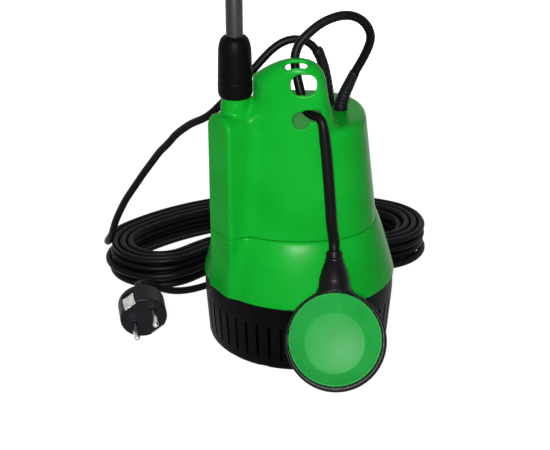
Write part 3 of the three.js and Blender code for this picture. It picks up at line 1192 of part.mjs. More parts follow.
// Plug, turned so that its pins face the front
const plugStand = new THREE.Group();
plugStand.position.set(...PLUG_FACE);
plugStand.rotation.z = PLUG_YAW;
pump.add(plugStand);
const plug = new THREE.Group();
plug.rotation.set(Math.PI / 2, 0, PLUG_ROLL);
plugStand.add(plug);
place(plug, 'plug_body', plugBody(), black);
[-1, 1].forEach((side, i) => {
  place(plug, `plug_pin_${i + 1}`, plugPin(), steel, [side * PIN_SPACING / 2, 0, 0]);
  const clip = place(plug, `plug_clip_${i + 1}`, plugClip(), steel);
  clip.rotation.z = side > 0 ? Math.PI : 0;
});

// Float with its drop of cable, in the pose in which it leans on the skirt
const float = new THREE.Group();
float.position.set(...FLOAT_CENTRE);
float.rotation.x = -FLOAT_LEAN;
pump.add(float);
place(float, 'float_shell', floatShell(), black);
place(float, 'float_lid', floatLid(), green);
place(float, 'float_collar', floatCollar(), black);
place(float, 'float_switch_carrier', switchCarrier(), whitePlastic, [0, -switchDepth, 0]);
place(float, 'float_ball', new THREE.SphereGeometry(BALL_RADIUS, SMALL_STEPS - 4, SMALL_STEPS / 2), steel,
  [0, -switchDepth, SWITCH_TUBE_WALL + BALL_RADIUS + GAP]);
place(pump, 'float_cable_drop', cord(dropCurve, DROP_DIAMETER, 14), cable);

export default pump;
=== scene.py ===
import math

import bmesh
import bpy
import numpy as np
from mathutils import Matrix


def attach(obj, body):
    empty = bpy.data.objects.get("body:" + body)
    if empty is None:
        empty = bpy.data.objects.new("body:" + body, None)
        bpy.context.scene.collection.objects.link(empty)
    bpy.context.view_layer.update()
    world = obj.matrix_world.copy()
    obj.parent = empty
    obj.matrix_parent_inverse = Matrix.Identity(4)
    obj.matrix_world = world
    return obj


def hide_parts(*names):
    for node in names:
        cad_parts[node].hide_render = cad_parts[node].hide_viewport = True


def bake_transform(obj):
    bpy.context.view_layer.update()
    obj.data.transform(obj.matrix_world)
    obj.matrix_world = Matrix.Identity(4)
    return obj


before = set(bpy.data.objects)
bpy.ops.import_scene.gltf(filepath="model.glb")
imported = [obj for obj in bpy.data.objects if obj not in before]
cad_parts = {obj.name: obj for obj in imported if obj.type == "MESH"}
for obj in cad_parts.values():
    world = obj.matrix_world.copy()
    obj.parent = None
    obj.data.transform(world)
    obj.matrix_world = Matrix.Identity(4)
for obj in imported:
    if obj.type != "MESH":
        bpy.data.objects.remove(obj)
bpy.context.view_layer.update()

# Viewpoint: a long lens at arm's height in front of the pump, tipped down by 25 degrees,
# so that the housing's front, its top and the float's face are all seen.
lens = bpy.data.cameras.new("viewpoint")
lens.lens = 78.545
lens.sensor_width = 36
viewpoint = bpy.data.objects.new("viewpoint", lens)
viewpoint.location = (-0.0195, -0.871, 0.5007)
viewpoint.rotation_euler = (math.radians(64.81), 0, 0)
bpy.context.scene.collection.objects.link(viewpoint)
bpy.context.scene.camera = viewpoint
bpy.context.scene.view_settings.view_transform = "Standard"

# Mains lead: nearly ten metres of black rubber-sheathed flex. It leaves its boot on the roof, drops behind
# the pump, is piled there in flat loops and comes out again at floor height to the plug.
MAINS_CORD = 6.2
COIL_RADIUS = 162
COIL_LEFT, COIL_RIGHT = math.radians(139.5), math.radians(63.5)
COIL_HALF_WIDTH = 48.5
COIL_PITCH = 6.9
COIL_LAYERS = 4
COIL_TURNS = 13.676
COIL_START = 0.13
COIL_LIFT = 3.4
COIL_LEAN = 1.3
LINE_STEP = 5


def tint(red, green, blue):
    levels = [v / 255 for v in (red, green, blue)]
    return [*(v / 12.92 if v < 0.04045 else ((v + 0.055) / 1.055) ** 2.4 for v in levels), 1]


def finish_of(name, dark, light, rough, patch=0.02, grain=0.0008, depth=0.00002, metal=0.0, shine=0.5,
              stretch=(1, 1, 1), along=False, rough_spread=0.08, bands=None):
    """A finish in two near tints with a fine grain.

    With along it reads the place along the piece, and bands is an axis and a pitch.
    """
    material = bpy.data.materials.new(name)
    material.use_nodes = True
    nodes, links = material.node_tree.nodes, material.node_tree.links
    shader = nodes["Principled BSDF"]
    shader.inputs["Metallic"].default_value = metal
    shader.inputs["Specular IOR Level"].default_value = shine
    place = nodes.new("ShaderNodeTexCoord")
    spread = nodes.new("ShaderNodeMapping")
    spread.inputs["Scale"].default_value = stretch
    links.new(place.outputs["UV" if along else "Object"], spread.inputs["Vector"])
    patches = nodes.new("ShaderNodeTexNoise")
    patches.inputs["Scale"].default_value = 1 / patch
    patches.inputs["Detail"].default_value = 4
    links.new(spread.outputs["Vector"], patches.inputs["Vector"])
    colours = nodes.new("ShaderNodeValToRGB")
    colours.color_ramp.elements[0].position = 0.32
    colours.color_ramp.elements[0].color = dark
    colours.color_ramp.elements[1].position = 0.68
    colours.color_ramp.elements[1].color = light
    links.new(patches.outputs["Fac"], colours.inputs["Fac"])
    links.new(colours.outputs["Color"], shader.inputs["Base Color"])
    wear = nodes.new("ShaderNodeMapRange")
    wear.inputs["To Min"].default_value = rough - rough_spread
    wear.inputs["To Max"].default_value = rough + rough_spread
    links.new(patches.outputs["Fac"], wear.inputs["Value"])
    links.new(wear.outputs["Result"], shader.inputs["Roughness"])
    fine = nodes.new("ShaderNodeTexNoise")
    fine.inputs["Scale"].default_value = 1 / grain
    fine.inputs["Detail"].default_value = 2
    links.new(spread.outputs["Vector"], fine.inputs["Vector"])
    bump = nodes.new("ShaderNodeBump")
    bump.inputs["Strength"].default_value = 0.6
    bump.inputs["Distance"].default_value = depth
    links.new(fine.outputs["Fac"], bump.inputs["Height"])
    if bands:
        lines = nodes.new("ShaderNodeTexWave")
        lines.bands_direction = bands[0]
        lines.inputs["Scale"].default_value = 0.314 / bands[1]
        lines.inputs["Distortion"].default_value = 0.4
        links.new(spread.outputs["Vector"], lines.inputs["Vector"])
        ridges = nodes.new("ShaderNodeBump")
        ridges.inputs["Distance"].default_value = bands[1] / 4
        links.new(lines.outputs["Fac"], ridges.inputs["Height"])
        links.new(bump.outputs["Normal"], ridges.inputs["Normal"])
        links.new(lines.outputs["Fac"], colours.inputs["Fac"])
        bump = ridges
    links.new(bump.outputs["Normal"], shader.inputs["Normal"])
    return material


def smooth_line(points):
    """A line of fine steps through the points, with even speed through the corners."""
    p = np.array(points, float)
    p = np.vstack([2 * p[0] - p[1], p, 2 * p[-1] - p[-2]])
    out = []
    for a, b, c, d in zip(p[:-3], p[1:-2], p[2:-1], p[3:]):
        first, middle, last = (np.linalg.norm(v) ** 0.5 for v in (b - a, c - b, d - c))
        start = ((b - a) / first - (c - a) / (first + middle) + (c - b) / middle) * middle
        end = ((c - b) / middle - (d - b) / (middle + last) + (d - c) / last) * middle
        t = np.linspace(0, 1, 12, endpoint=False)[:, None]
        out.append(b * (2 * t**3 - 3 * t**2 + 1) + start * (t**3 - 2 * t**2 + t)
                   + c * (3 * t**2 - 2 * t**3) + end * (t**3 - t**2))
    return np.vstack([*out, p[-2:-1]])


def even_line(line, step):
    """The same line in even steps."""
    run = np.r_[0, np.cumsum(np.linalg.norm(np.diff(line, axis=0), axis=1))]
    at = np.linspace(0, run[-1], max(int(round(run[-1] / step)), 2) + 1)
    return np.stack([np.interp(at, run, line[:, k]) for k in range(3)], axis=1)


def relaxed(line, passes):
    """The line with its tight corners eased, and its ends where they were."""
    line = line.copy()
    for _ in range(passes):
        line[1:-1] = (line[:-2] + 2 * line[1:-1] + line[2:]) / 4
    return line


def new_piece(name, points, faces, material, body="pump", crease=35, normals=None):
    """A piece from points in millimetres, riding on one body of the frame."""
    mesh = bpy.data.meshes.new(name)
    mesh.from_pydata((np.asarray(points, float) / 1000).tolist(), [], [tuple(map(int, f)) for f in faces])
    mesh.materials.append(material)
    if normals is None:
        work = bmesh.new()
        work.from_mesh(mesh)
        bmesh.ops.remove_doubles(work, verts=work.verts, dist=2e-6)
        work.to_mesh(mesh)
        work.free()
    mesh.polygons.foreach_set("use_smooth", [True] * len(mesh.polygons))
    if normals is None:
        mesh.set_sharp_from_angle(angle=math.radians(crease))
    else:
        mesh.normals_split_custom_set_from_vertices(normals.tolist())
    mesh.update()
    piece = bpy.data.objects.new(name, mesh)
    bpy.context.scene.collection.objects.link(piece)
    if body:
        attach(piece, body)
    return piece


def tube(line, radii, sides):
    """Points and faces of a closed round tube, and its faces' places along and round it in metres."""
    radii = np.broadcast_to(np.asarray(radii, float), len(line))
    ahead = np.gradient(line, axis=0)
    ahead /= np.linalg.norm(ahead, axis=1)[:, None]
    side = np.cross(ahead[0], (0.3, 0.2, 1.0))
    rings = []
    turn = np.arange(sides) * 2 * math.pi / sides
    for centre, direction, radius in zip(line, ahead, radii):
        side = side - direction * side.dot(direction)
        side /= np.linalg.norm(side)
        other = np.cross(direction, side)
        rings.append(centre + radius * (np.cos(turn)[:, None] * side + np.sin(turn)[:, None] * other))
    points = np.vstack([*rings, line[:1], line[-1:]])
    count = len(line)
    run = np.r_[0, np.cumsum(np.linalg.norm(np.diff(line, axis=0), axis=1))] / 1000
    faces, uvs = [], []
    for i in range(count - 1):
        for j in range(sides):
            k = (j + 1) % sides
            faces.append((i * sides + j, i * sides + k, (i + 1) * sides + k, (i + 1) * sides + j))
            low, high = (w * 2 * math.pi * radii[i] / sides / 1000 for w in (j, j + 1))
            uvs += [(run[i], low), (run[i], high), (run[i + 1], high), (run[i + 1], low)]
    for j in range(sides):
        k = (j + 1) % sides
        faces.append((count * sides, k, j))
        faces.append((count * sides + 1, (count - 1) * sides + j, (count - 1) * sides + k))
        uvs += [(0, 0), (0, 0.001), (0, 0.002), (run[-1], 0), (run[-1], 0.001), (run[-1], 0.002)]
    return points, faces, uvs


def cable_piece(name, line, radii, sides, material, body):
    points, faces, uvs = tube(line, radii, sides)
    piece = new_piece(name, points, faces, material, body)
    layer = piece.data.uv_layers.new(name="length")
    layer.data.foreach_set("uv", np.array(uvs, np.float32).ravel())
    return piece


def coil_point(turns):
    """A place on the piled loops, which wind in and out and climb a layer each time they turn back."""
    sweep = COIL_TURNS / COIL_LAYERS
    layer = min(int(turns / sweep), COIL_LAYERS)
    within = turns / sweep - layer
    inward = within if layer % 2 == 0 else 1 - within
    half = COIL_HALF_WIDTH - inward * sweep * COIL_PITCH
    climb = sum(min(max((turns - i * sweep) / 0.5 + 0.5, 0), 1) for i in range(1, COIL_LAYERS))
    quarter = ((turns + COIL_START) % 1) * 4
    part = min(int(quarter), 3)
    share = quarter - part
    height, lean = COIL_LIFT + climb * COIL_PITCH, COIL_LEAN * climb
    if part in (0, 2):
        ends = (COIL_LEFT, COIL_RIGHT) if part == 0 else (COIL_RIGHT, COIL_LEFT)
        angle = ends[0] + (ends[1] - ends[0]) * share
        radius = COIL_RADIUS + (half if part == 2 else -half)
        return [radius * math.cos(angle), radius * math.sin(angle) + lean, height]
    end, start = (COIL_RIGHT, COIL_RIGHT + math.pi) if part == 1 else (COIL_LEFT, COIL_LEFT)
    turn = start + share * math.pi
    return [COIL_RADIUS * math.cos(end) + half * math.cos(turn),
            COIL_RADIUS * math.sin(end) + half * math.sin(turn) + lean, height]


mains_route = [
    [20.9, 14, 198.5], [19.5, 14, 209.5], [16.4, 13.5, 223.5], [12.2, 13, 232.8], [5.2, 12.5, 239.6],
    [-3.6, 11.5, 242.1], [-12.6, 10, 240.4], [-20.9, 8.5, 235.2], [-27.8, 7, 228.4], [-34.4, 5.4, 221],
    [-40.5, 4.2, 214.2], [-47.4, 4, 206.7], [-58, 5, 194.9], [-72.4, 10, 179.2], [-85, 20, 170.6],
    [-92.8, 27, 162.9], [-99.9, 33, 155.5], [-106.4, 39, 145.4], [-112.9, 45, 137.8],
    [-121.5, 52, 124.3], [-130.2, 58, 111], [-138.1, 63, 97.9], [-146.3, 68.5, 84.6], [-153, 74, 71],
    [-158.8, 78.6, 57.7], [-164.9, 87, 38], [-169.1, 97, 28.9],
]
lead_route = [
    [-49.3, 91.3, COIL_LIFT], [-60.8, 78.8, COIL_LIFT], [-72.4, 67.6, COIL_LIFT], [-85, 58, COIL_LIFT],
    [-97, 51.6, 3.8], [-107.3, 47.4, 5.4], [-116.6, 44.4, 9], [-125, 40.8, 14.2], [-131.5, 34.8, 19.9],
    [-135, 26.9, 24.2], [-134.7, 18.5, 25.7], [-132.6, 8.9, 24.2], [-131.5, 4, 23.4],
]
coil_line = [coil_point(COIL_TURNS * (1 - i / 656)) for i in range(657)]
drop_line = smooth_line([*mains_route, coil_line[0], coil_line[2]])[:-12]
coil_end = smooth_line([coil_line[-3], coil_line[-1], [-36, 103, COIL_LIFT], *lead_route])[12:]
mains_line = np.vstack([drop_line[24:-1], coil_line, coil_end[1:]])
mains_line = even_line(relaxed(even_line(mains_line, 3), 6), LINE_STEP)
sheath = finish_of("cable_sheath", tint(4, 4, 5), tint(10, 10, 11), 0.45, patch=0.03, grain=0.002,
                   depth=0.00006, shine=0.06, stretch=(0.5, 1, 1), along=True)
mains_lead = cable_piece("mains_lead", mains_line, MAINS_CORD / 2, 14, sheath, "pump")
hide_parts("mains_cord", "mains_coil", "plug_lead")

# Float cable: a short length of heavier flex. It leaves its own boot, loops over the lug, goes down
# through the lug's eye and out of the keyhole, where it is held, and hangs from there to the float.
FLOAT_CORD = 6.8
DROP_DIAMETER = 8.2
float_route = [
    [36.8, 1, 209.1], [41, 0, 219], [46, -1, 228.7], [50, -3, 238.6], [51.8, -5, 248.5], [47.5, -8, 258.4],
    [40.5, -11, 264.5], [31.5, -14, 266.8], [22, -17, 265.4], [13.2, -20, 261.8], [4.4, -24, 255.5],
    [-2.1, -26, 248.9], [-5, -28.2, 240.8], [-5, -32.5, 234.2], [-3.5, -36, 226.8], [-1.2, -39, 217.9],
    [0.6, -40.6, 209.5], [2.6, -41.8, 203.2], [5.6, -44.6, 201.4], [9.4, -48.6, 201.2], [13.9, -54, 201],
    [16.5, -57, 187], [19, -59.6, 165], [21, -62.2, 142], [22.8, -64.6, 120], [24.8, -63.8, 106.4],
    [24.8, -66.7, 101.1],
]
float_line = relaxed(even_line(smooth_line(float_route), 2), 5)
widening = np.clip((201 - float_line[:, 2]) / 16, 0, 1) * (float_line[:, 1] < -50)
float_cable = cable_piece("float_cable", float_line,
                          (FLOAT_CORD + (DROP_DIAMETER - FLOAT_CORD) * widening) / 2, 16, sheath, None)
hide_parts("float_cable_loop", "float_cable_drop")
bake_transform(float_cable)

# Gland boots: two tapered sleeves of soft black rubber, pushed through the roof and drawn out over
# each cable, with shallow rings round the thick end and a lip at the mains lead's.
rubber = finish_of("boot_rubber", tint(6, 6, 6), tint(13, 13, 14), 0.5, patch=0.01, grain=0.0006,
                   depth=0.00005, shine=0.1)
boot_shares = [0, 0.05, 0.07, 0.25, 0.5, 0.78, 0.88, 0.91, 0.98, 1]
for name, route, end, lip in (
    ("mains", [[21.5, 14, 184.8], [21.5, 14, 189.3], *mains_route[:4]], [5.2, 12.5, 239.6], 4.3),
    ("float", [[30.8, 1, 184.8], [30.8, 1, 189.3], [31.1, 1, 193], [33.2, 1, 200.3], *float_route[:2]],
     [46, -1, 228.7], 3.9),
):
    line = smooth_line([*route, end])[:-12]
    line = even_line(line, 0.8)
    share = np.linspace(0, 1, len(line))
    widths = np.interp(share, boot_shares, [4.7, 4.7, 5.4, 5.2, 4.7, 4.1, 4, lip, lip, lip - 0.3])
    widths = widths - 0.22 * (np.sin(share * 2 * math.pi * 13) > 0.2) * (share > 0.2) * (share < 0.6)
    points, faces, _ = tube(line, widths, 24)
    boot = new_piece(name + "_gland_boot", points, faces, rubber, "pump", crease=50)
    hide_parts(name + "_boot")

# Upper housing: one thin moulding in glossy green plastic, with the square discharge duct and its
# round neck at the front left, and the carrying lug rising from the front wall.
HOUSING_TOP, SEAM, SKIRT_EDGE = 189, 104, 55
DUCT_ANGLE = math.radians(214.5)
NECK_DISTANCE = 59
DUCT_FLOW = 3
DUCT_SHIFT, DUCT_HALF_WIDTH, DUCT_HALF_REACH, DUCT_CORNER = 1.5, 15.1, 38.2, 3.4
NECK_RADIUS, DUCT_BORE = 11, 8
LEDGE_RADIUS, LEDGE_HEIGHT = 45.6, 4.75
WALL = 3
LUG_LEFT, LUG_RIGHT, LUG_CROWN = -35.9, 27, 241
SCREW_START = DUCT_ANGLE + math.pi / 4
neck_x, neck_y = NECK_DISTANCE * math.cos(DUCT_ANGLE), NECK_DISTANCE * math.sin(DUCT_ANGLE)
green = finish_of("green_moulding", tint(12, 170, 42), tint(24, 184, 54), 0.27, patch=0.045, grain=0.0016,
                  depth=0.00003, shine=0.03, rough_spread=0.03)


def merged(a, b, soft):
    """Two forms as one, with a soft valley between them."""
    share = np.clip(0.5 + 0.5 * (b - a) / soft, 0, 1)
    return b + (a - b) * share - soft * share * (1 - share)


def cut(a, b, soft=0.5):
    return -merged(-a, b, soft)


def kept(a, b, radius):
    """What two forms share, with a round edge where their faces meet."""
    a, b = a + radius, b + radius
    return np.hypot(np.maximum(a, 0), np.maximum(b, 0)) + np.minimum(np.maximum(a, b), 0) - radius


def round_box(a, b, half_a, half_b, corner):
    qa, qb = np.abs(a) - half_a + corner, np.abs(b) - half_b + corner
    return np.hypot(np.maximum(qa, 0), np.maximum(qb, 0)) + np.minimum(np.maximum(qa, qb), 0) - corner


def soft_square(x, y, width, depth, power):
    """How far a place lies outside a square plan with bowed sides."""
    away = np.hypot(x, y)
    c, s = (np.where(away > 0.1, v / np.maximum(away, 0.1), 1.0) for v in (x, y))
    return away - ((np.abs(c) / width) ** power + (np.abs(s) / depth) ** power) ** (-1 / power)


def skin_of(field, low, high, cell):
    """Points, faces and normals of the surface where a form's distance field is zero."""
    cell = cell * 1
    low = np.array(low, float) - 2.3 * cell
    axes = [np.arange(low[k], high[k] + 3 * cell, cell) for k in range(3)]
    value = field(axes[0][:, None, None], axes[1][None, :, None], axes[2][None, None, :])
    cells = [n - 1 for n in value.shape]
    size = cells[0] * cells[1] * cells[2]
    count, sums, quads = np.zeros(size), np.zeros((3, size)), []
    for axis in range(3):
        near = value[tuple(slice(0, -1) if k == axis else slice(None) for k in range(3))]
        far = value[tuple(slice(1, None) if k == axis else slice(None) for k in range(3))]
        at = np.argwhere((near < 0) != (far < 0))
        here, there = near[tuple(at.T)], far[tuple(at.T)]
        spot = at.astype(float)
        spot[:, axis] += here / (here - there)
        ring = []
        for one, two in ((-1, -1), (0, -1), (0, 0), (-1, 0)):
            c = at.copy()
            c[:, (axis + 1) % 3] += one
            c[:, (axis + 2) % 3] += two
            flat = (c[:, 0] * cells[1] + c[:, 1]) * cells[2] + c[:, 2]
            ring.append(flat)
            count += np.bincount(flat, minlength=size)
            for k in range(3):
                sums[k] += np.bincount(flat, spot[:, k], minlength=size)
        quad = np.stack(ring, 1)
        quad[here > 0] = quad[here > 0][:, ::-1]
        quads.append(quad)
    used = np.flatnonzero(count)
    order = np.zeros(size, int)
    order[used] = np.arange(len(used))
    points = low + cell * (sums[:, used] / count[used]).T
    for step in range(4):
        slope = np.zeros_like(points)
        for k in range(3):
            shift = np.zeros(3)
            shift[k] = 0.04
            slope[:, k] = (field(*(points + shift).T) - field(*(points - shift).T)) / 0.08
        slope /= np.maximum(np.linalg.norm(slope, axis=1), 1e-3)[:, None]
        if step < 3:
            off = np.clip(field(*points.T), -0.4 * cell, 0.4 * cell)
            points -= off[:, None] * slope
    return points, order[np.vstack(quads)], slope


def bezier(points, steps):
    t = np.linspace(0, 1, steps, endpoint=False)[:, None]
    a, b, c, d = (np.array(q, float) for q in points)
    return a * (1 - t) ** 3 + 3 * b * t * (1 - t) ** 2 + 3 * c * t * t * (1 - t) + d * t**3


lug_shares = np.vstack([
    bezier([[0, 0.68], [0.14, 0.85], [0.32, 1], [0.5065, 1]], 16),
    bezier([[0.5065, 1], [0.709, 1], [0.806, 0.9], [0.854, 0.67]], 14),
    bezier([[0.854, 0.67], [0.882, 0.4], [0.935, 0.18], [1, -0.09]], 10), [[1, -0.09]],
])
lug_outline = np.vstack([
    [[LUG_LEFT, 170]], np.c_[LUG_LEFT + lug_shares[:, 0] * (LUG_RIGHT - LUG_LEFT),
                             HOUSING_TOP + lug_shares[:, 1] * (LUG_CROWN - HOUSING_TOP)], [[LUG_RIGHT, 170]],
])


def outline_distance(x, z):
    """How far outside the lug's outline a place lies, seen from the front."""
    x, z = np.broadcast_arrays(x, z)
    nearest, inside = np.full(x.shape, 1e9), np.zeros(x.shape, bool)
    for (x0, z0), (x1, z1) in zip(lug_outline, np.roll(lug_outline, -1, axis=0)):
        ex, ez = x1 - x0, z1 - z0
        t = np.clip(((x - x0) * ex + (z - z0) * ez) / (ex * ex + ez * ez), 0, 1)
        nearest = np.minimum(nearest, (x - x0 - ex * t) ** 2 + (z - z0 - ez * t) ** 2)
        inside ^= ((z0 > z) != (z1 > z)) & (x < ex * (z - z0) / (ez or 1e-9) + x0)
    return np.where(inside, -1, 1) * np.sqrt(nearest)


def casing_halves(z):
    share = (z - SEAM) / (HOUSING_TOP - SEAM)
    return 60.5 - 10.5 * share, 58 - 7.5 * share


def duct_places(x, y):
    c, s = math.cos(DUCT_ANGLE), math.sin(DUCT_ANGLE)
    return x * c + y * s, y * c - x * s


def upper_form(x, y, z):
    width, depth = casing_halves(z)
    side = soft_square(x, y, width, depth, 2.4)
    casing = kept(side, z - HOUSING_TOP, 5)
    out, across = duct_places(x, y)
    q = out - NECK_DISTANCE
    ends = np.maximum(q - 17.4, -q - 15 - 4 * np.clip(HOUSING_TOP - 4 - z, 0, 9))
    vault = kept(np.abs(across - DUCT_SHIFT) - DUCT_HALF_WIDTH, z - 200, 12.5)
    block = kept(ends, vault, DUCT_CORNER)
    from_neck = np.hypot(x - neck_x, y - neck_y)
    flow = 6 + DUCT_FLOW * np.clip(across / 10, 0, 1)
    body = merged(casing, block, flow)
    flanks = np.abs(across - DUCT_SHIFT) - DUCT_HALF_WIDTH
    swell = side - merged(side, kept(ends, flanks, DUCT_CORNER), flow)
    swell = swell * np.clip((216 - z) / 22, 0, 1)
    neck = from_neck - np.interp(z, [199, 202, 204, 206, 207.5, 209], [11.1, 10.9, 11, 10.8, 10.4, 10.1])
    body = merged(body, kept(neck, z - 222, 0.6), 2.5)
    room = np.maximum(side + WALL, z - HOUSING_TOP + WALL)
    room = np.maximum(room, NECK_RADIUS - from_neck)
    room = np.where(z < SEAM + LEDGE_HEIGHT, np.maximum(room, np.hypot(x, y) - LEDGE_RADIUS), room)
    body = np.maximum(body, -room)
    front = -depth * (1 - np.minimum(np.abs(x) / width, 1) ** 2.4) ** (1 / 2.4)
    behind = y - front + swell
    foot = np.clip((-14 - x) / 10, 0, 1) * np.clip((208 - z) / 14, 0, 1)
    edge = outline_distance(x, z) - 4 * foot
    rim = kept(edge, -behind, 9 - 6 * foot)
    lug = kept(cut(rim, rim + WALL, 0.3), behind - 12, 0.8)
    lug = np.maximum(lug, 184 - z)
    flow = 5 * np.clip(behind / 8, 0, 1) * np.clip((194 - z) / 6, 0.2, 1)
    left = np.clip((-16 - x) / 12, 0, 1)
    flow = flow + 8 * left * np.clip((210.8 - z) / 2, 0, 1) * np.clip((z - 190) / 8, 0, 1)
    body = merged(body, lug, 0.3 + flow)
    eye = round_box(x - 1.3, z - 224, 9.4, 7.5, 6.8)
    slot = round_box(x - 7, z - 201.2, 7.6, 4.2, 4.1)
    keyhole = merged(np.hypot(x + 0.7, z - 197.8) - 6.2, slot, 0.8)
    body = cut(body, np.maximum(np.minimum(eye, keyhole), y + 22), 1.4)
    body = cut(body, np.maximum(round_box(x + 4.2, y + 41.6, 8.2, 2.6, 2.5), 229 - z), 1.2)
    body = cut(body, from_neck - DUCT_BORE, 0.6)
    for hole_x, hole_y in ((21.5, 14), (30.8, 1)):
        body = cut(body, np.maximum(np.hypot(x - hole_x, y - hole_y) - 5, 170 - z), 0.8)
    return kept(body, SEAM + 0.15 - z, 0.7)


points, faces, normals = skin_of(upper_form, (-71, -62, SEAM), (62, 60, LUG_CROWN), 1.15)
upper_shell = new_piece("upper_shell", points, faces, green, "pump", normals=normals)
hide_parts("upper_housing")

# Lower housing: the skirt below the seam, moulded in the same green. It flares from the soft square
# of the casing to a round edge, carries the duct on down, and holds the motor room's floor inside.
EYE_RADIUS, EYE_FOOT = 29.7, 50
SCREW_DISTANCE, PILLAR_DISTANCE = 53.3, 65.4


def skirt_side(x, y, z, inset):
    ease = np.clip((SEAM - z) / (SEAM - SKIRT_EDGE), 0, 1) ** 0.78
    return soft_square(x, y, 60.5 + 16.5 * ease - inset, 58 + 19 * ease - inset, 2.4 - 0.4 * ease)


def lower_form(x, y, z):
    out, across = duct_places(x, y)
    away = np.hypot(x, y)
    from_neck = np.hypot(x - neck_x, y - neck_y)
    flow = 6 + DUCT_FLOW * np.clip(across / 10, 0, 1)
    duct = round_box(out - DUCT_HALF_REACH, across - DUCT_SHIFT, DUCT_HALF_REACH, DUCT_HALF_WIDTH,
                     DUCT_CORNER)
    body = merged(skirt_side(x, y, z, 0), duct, flow)
    body = kept(body, z - SEAM + 0.15, 0.7)
    room = np.maximum(skirt_side(x, y, z, WALL), 64 - z)
    room = np.where(z > SEAM - LEDGE_HEIGHT, np.maximum(room, away - LEDGE_RADIUS), room)
    below = np.maximum(soft_square(x, y, 72.1, 71.9, 2.03), z - 60)
    for i in range(4):
        turn = SCREW_START + i * math.pi / 2
        post = np.hypot(x - SCREW_DISTANCE * math.cos(turn), y - SCREW_DISTANCE * math.sin(turn))
        room = np.maximum(room, 4.2 - post)
    room = np.maximum(room, NECK_RADIUS - from_neck)
    body = np.maximum(body, -np.minimum(room, below))
    body = np.maximum(body, -np.maximum(away - EYE_RADIUS, EYE_FOOT - z))
    groove = np.maximum(np.abs(away - 48.8) - 1.5, SEAM - 2.55 - z)
    body = np.maximum(body, -groove)
    body = np.maximum(body, DUCT_BORE - from_neck)
    return kept(body, SKIRT_EDGE - z, 0.9)


points, faces, normals = skin_of(lower_form, (-80, -80, SKIRT_EDGE), (80, 80, SEAM), 1.1)
lower_shell = new_piece("lower_shell", points, faces, green, "pump", normals=normals)
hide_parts("lower_housing")

# Strainer: a cup of black plastic with forty-eight narrow slots, sixteen notches along its foot, and
# a spigot that fits up into the skirt. Four hollow pillars take its screws.
black = finish_of("black_moulding", tint(3, 3, 4), tint(10, 9, 11), 0.46, patch=0.03, grain=0.0012,
                  depth=0.00004, shine=0.03)


def copies_round_axis():
    """Copies of one piece stood round the Z axis, welded where they meet."""
    tree = bpy.data.node_groups.new("copies_round_axis", "GeometryNodeTree")
    for name, kind in (
        ("Piece", "Geometry"), ("Copies", "Int"), ("Start turn", "Float"), ("Finish", "Material"),
    ):
        tree.interface.new_socket(name, in_out="INPUT", socket_type="NodeSocket" + kind)
    tree.interface.new_socket("Result", in_out="OUTPUT", socket_type="NodeSocketGeometry")
    nodes, links = tree.nodes, tree.links
    given, result = nodes.new("NodeGroupInput"), nodes.new("NodeGroupOutput")
    stands = nodes.new("GeometryNodePoints")
    number = nodes.new("GeometryNodeInputIndex")
    step = nodes.new("ShaderNodeMath")
    step.operation = "DIVIDE"
    step.inputs[0].default_value = 2 * math.pi
    turn = nodes.new("ShaderNodeMath")
    turn.operation = "MULTIPLY_ADD"
    angles = nodes.new("ShaderNodeCombineXYZ")
    turned_by = nodes.new("FunctionNodeEulerToRotation")
    copies = nodes.new("GeometryNodeInstanceOnPoints")
    real = nodes.new("GeometryNodeRealizeInstances")
    weld = nodes.new("GeometryNodeMergeByDistance")
    weld.inputs["Distance"].default_value = 0.00001
    paint = nodes.new("GeometryNodeSetMaterial")
    links.new(given.outputs["Copies"], stands.inputs["Count"])
    links.new(given.outputs["Copies"], step.inputs[1])
    links.new(number.outputs["Index"], turn.inputs[0])
    links.new(step.outputs[0], turn.inputs[1])
    links.new(given.outputs["Start turn"], turn.inputs[2])
    links.new(turn.outputs[0], angles.inputs["Z"])
    links.new(angles.outputs["Vector"], turned_by.inputs["Euler"])
    links.new(stands.outputs["Points"], copies.inputs["Points"])
    links.new(given.outputs["Piece"], copies.inputs["Instance"])
    links.new(turned_by.outputs["Rotation"], copies.inputs["Rotation"])
    links.new(copies.outputs["Instances"], real.inputs["Geometry"])
    links.new(real.outputs["Geometry"], weld.inputs["Geometry"])
    links.new(weld.outputs["Geometry"], paint.inputs["Geometry"])
    links.new(given.outputs["Finish"], paint.inputs["Material"])
    links.new(paint.outputs["Geometry"], result.inputs["Result"])
    return tree


round_axis = copies_round_axis()


def set_round(name, points, faces, copies, start, material, body="pump", crease=35, bevel=0.0):
    """A plain mesh of copies of one piece round the axis."""
    source = new_piece(name + "_one", points, faces, material, None, crease)
    spread = source.modifiers.new("copies", "NODES")
    spread.node_group = round_axis
    names = {item.name: item.identifier for item in round_axis.interface.items_tree if item.in_out == "INPUT"}
    spread[names["Copies"]] = copies
    spread[names["Start turn"]] = start
    spread[names["Finish"]] = material
    if bevel:
        edge = source.modifiers.new("edge", "BEVEL")
        edge.width = bevel / 1000
        edge.segments = 2
        edge.limit_method = "ANGLE"
        edge.angle_limit = math.radians(40)
        edge.harden_normals = True
    bpy.context.view_layer.update()
    ready = source.evaluated_get(bpy.context.evaluated_depsgraph_get())
    piece = bpy.data.objects.new(name, bpy.data.meshes.new_from_object(ready))
    bpy.context.scene.collection.objects.link(piece)
    bpy.data.objects.remove(source)
    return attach(piece, body) if body else piece


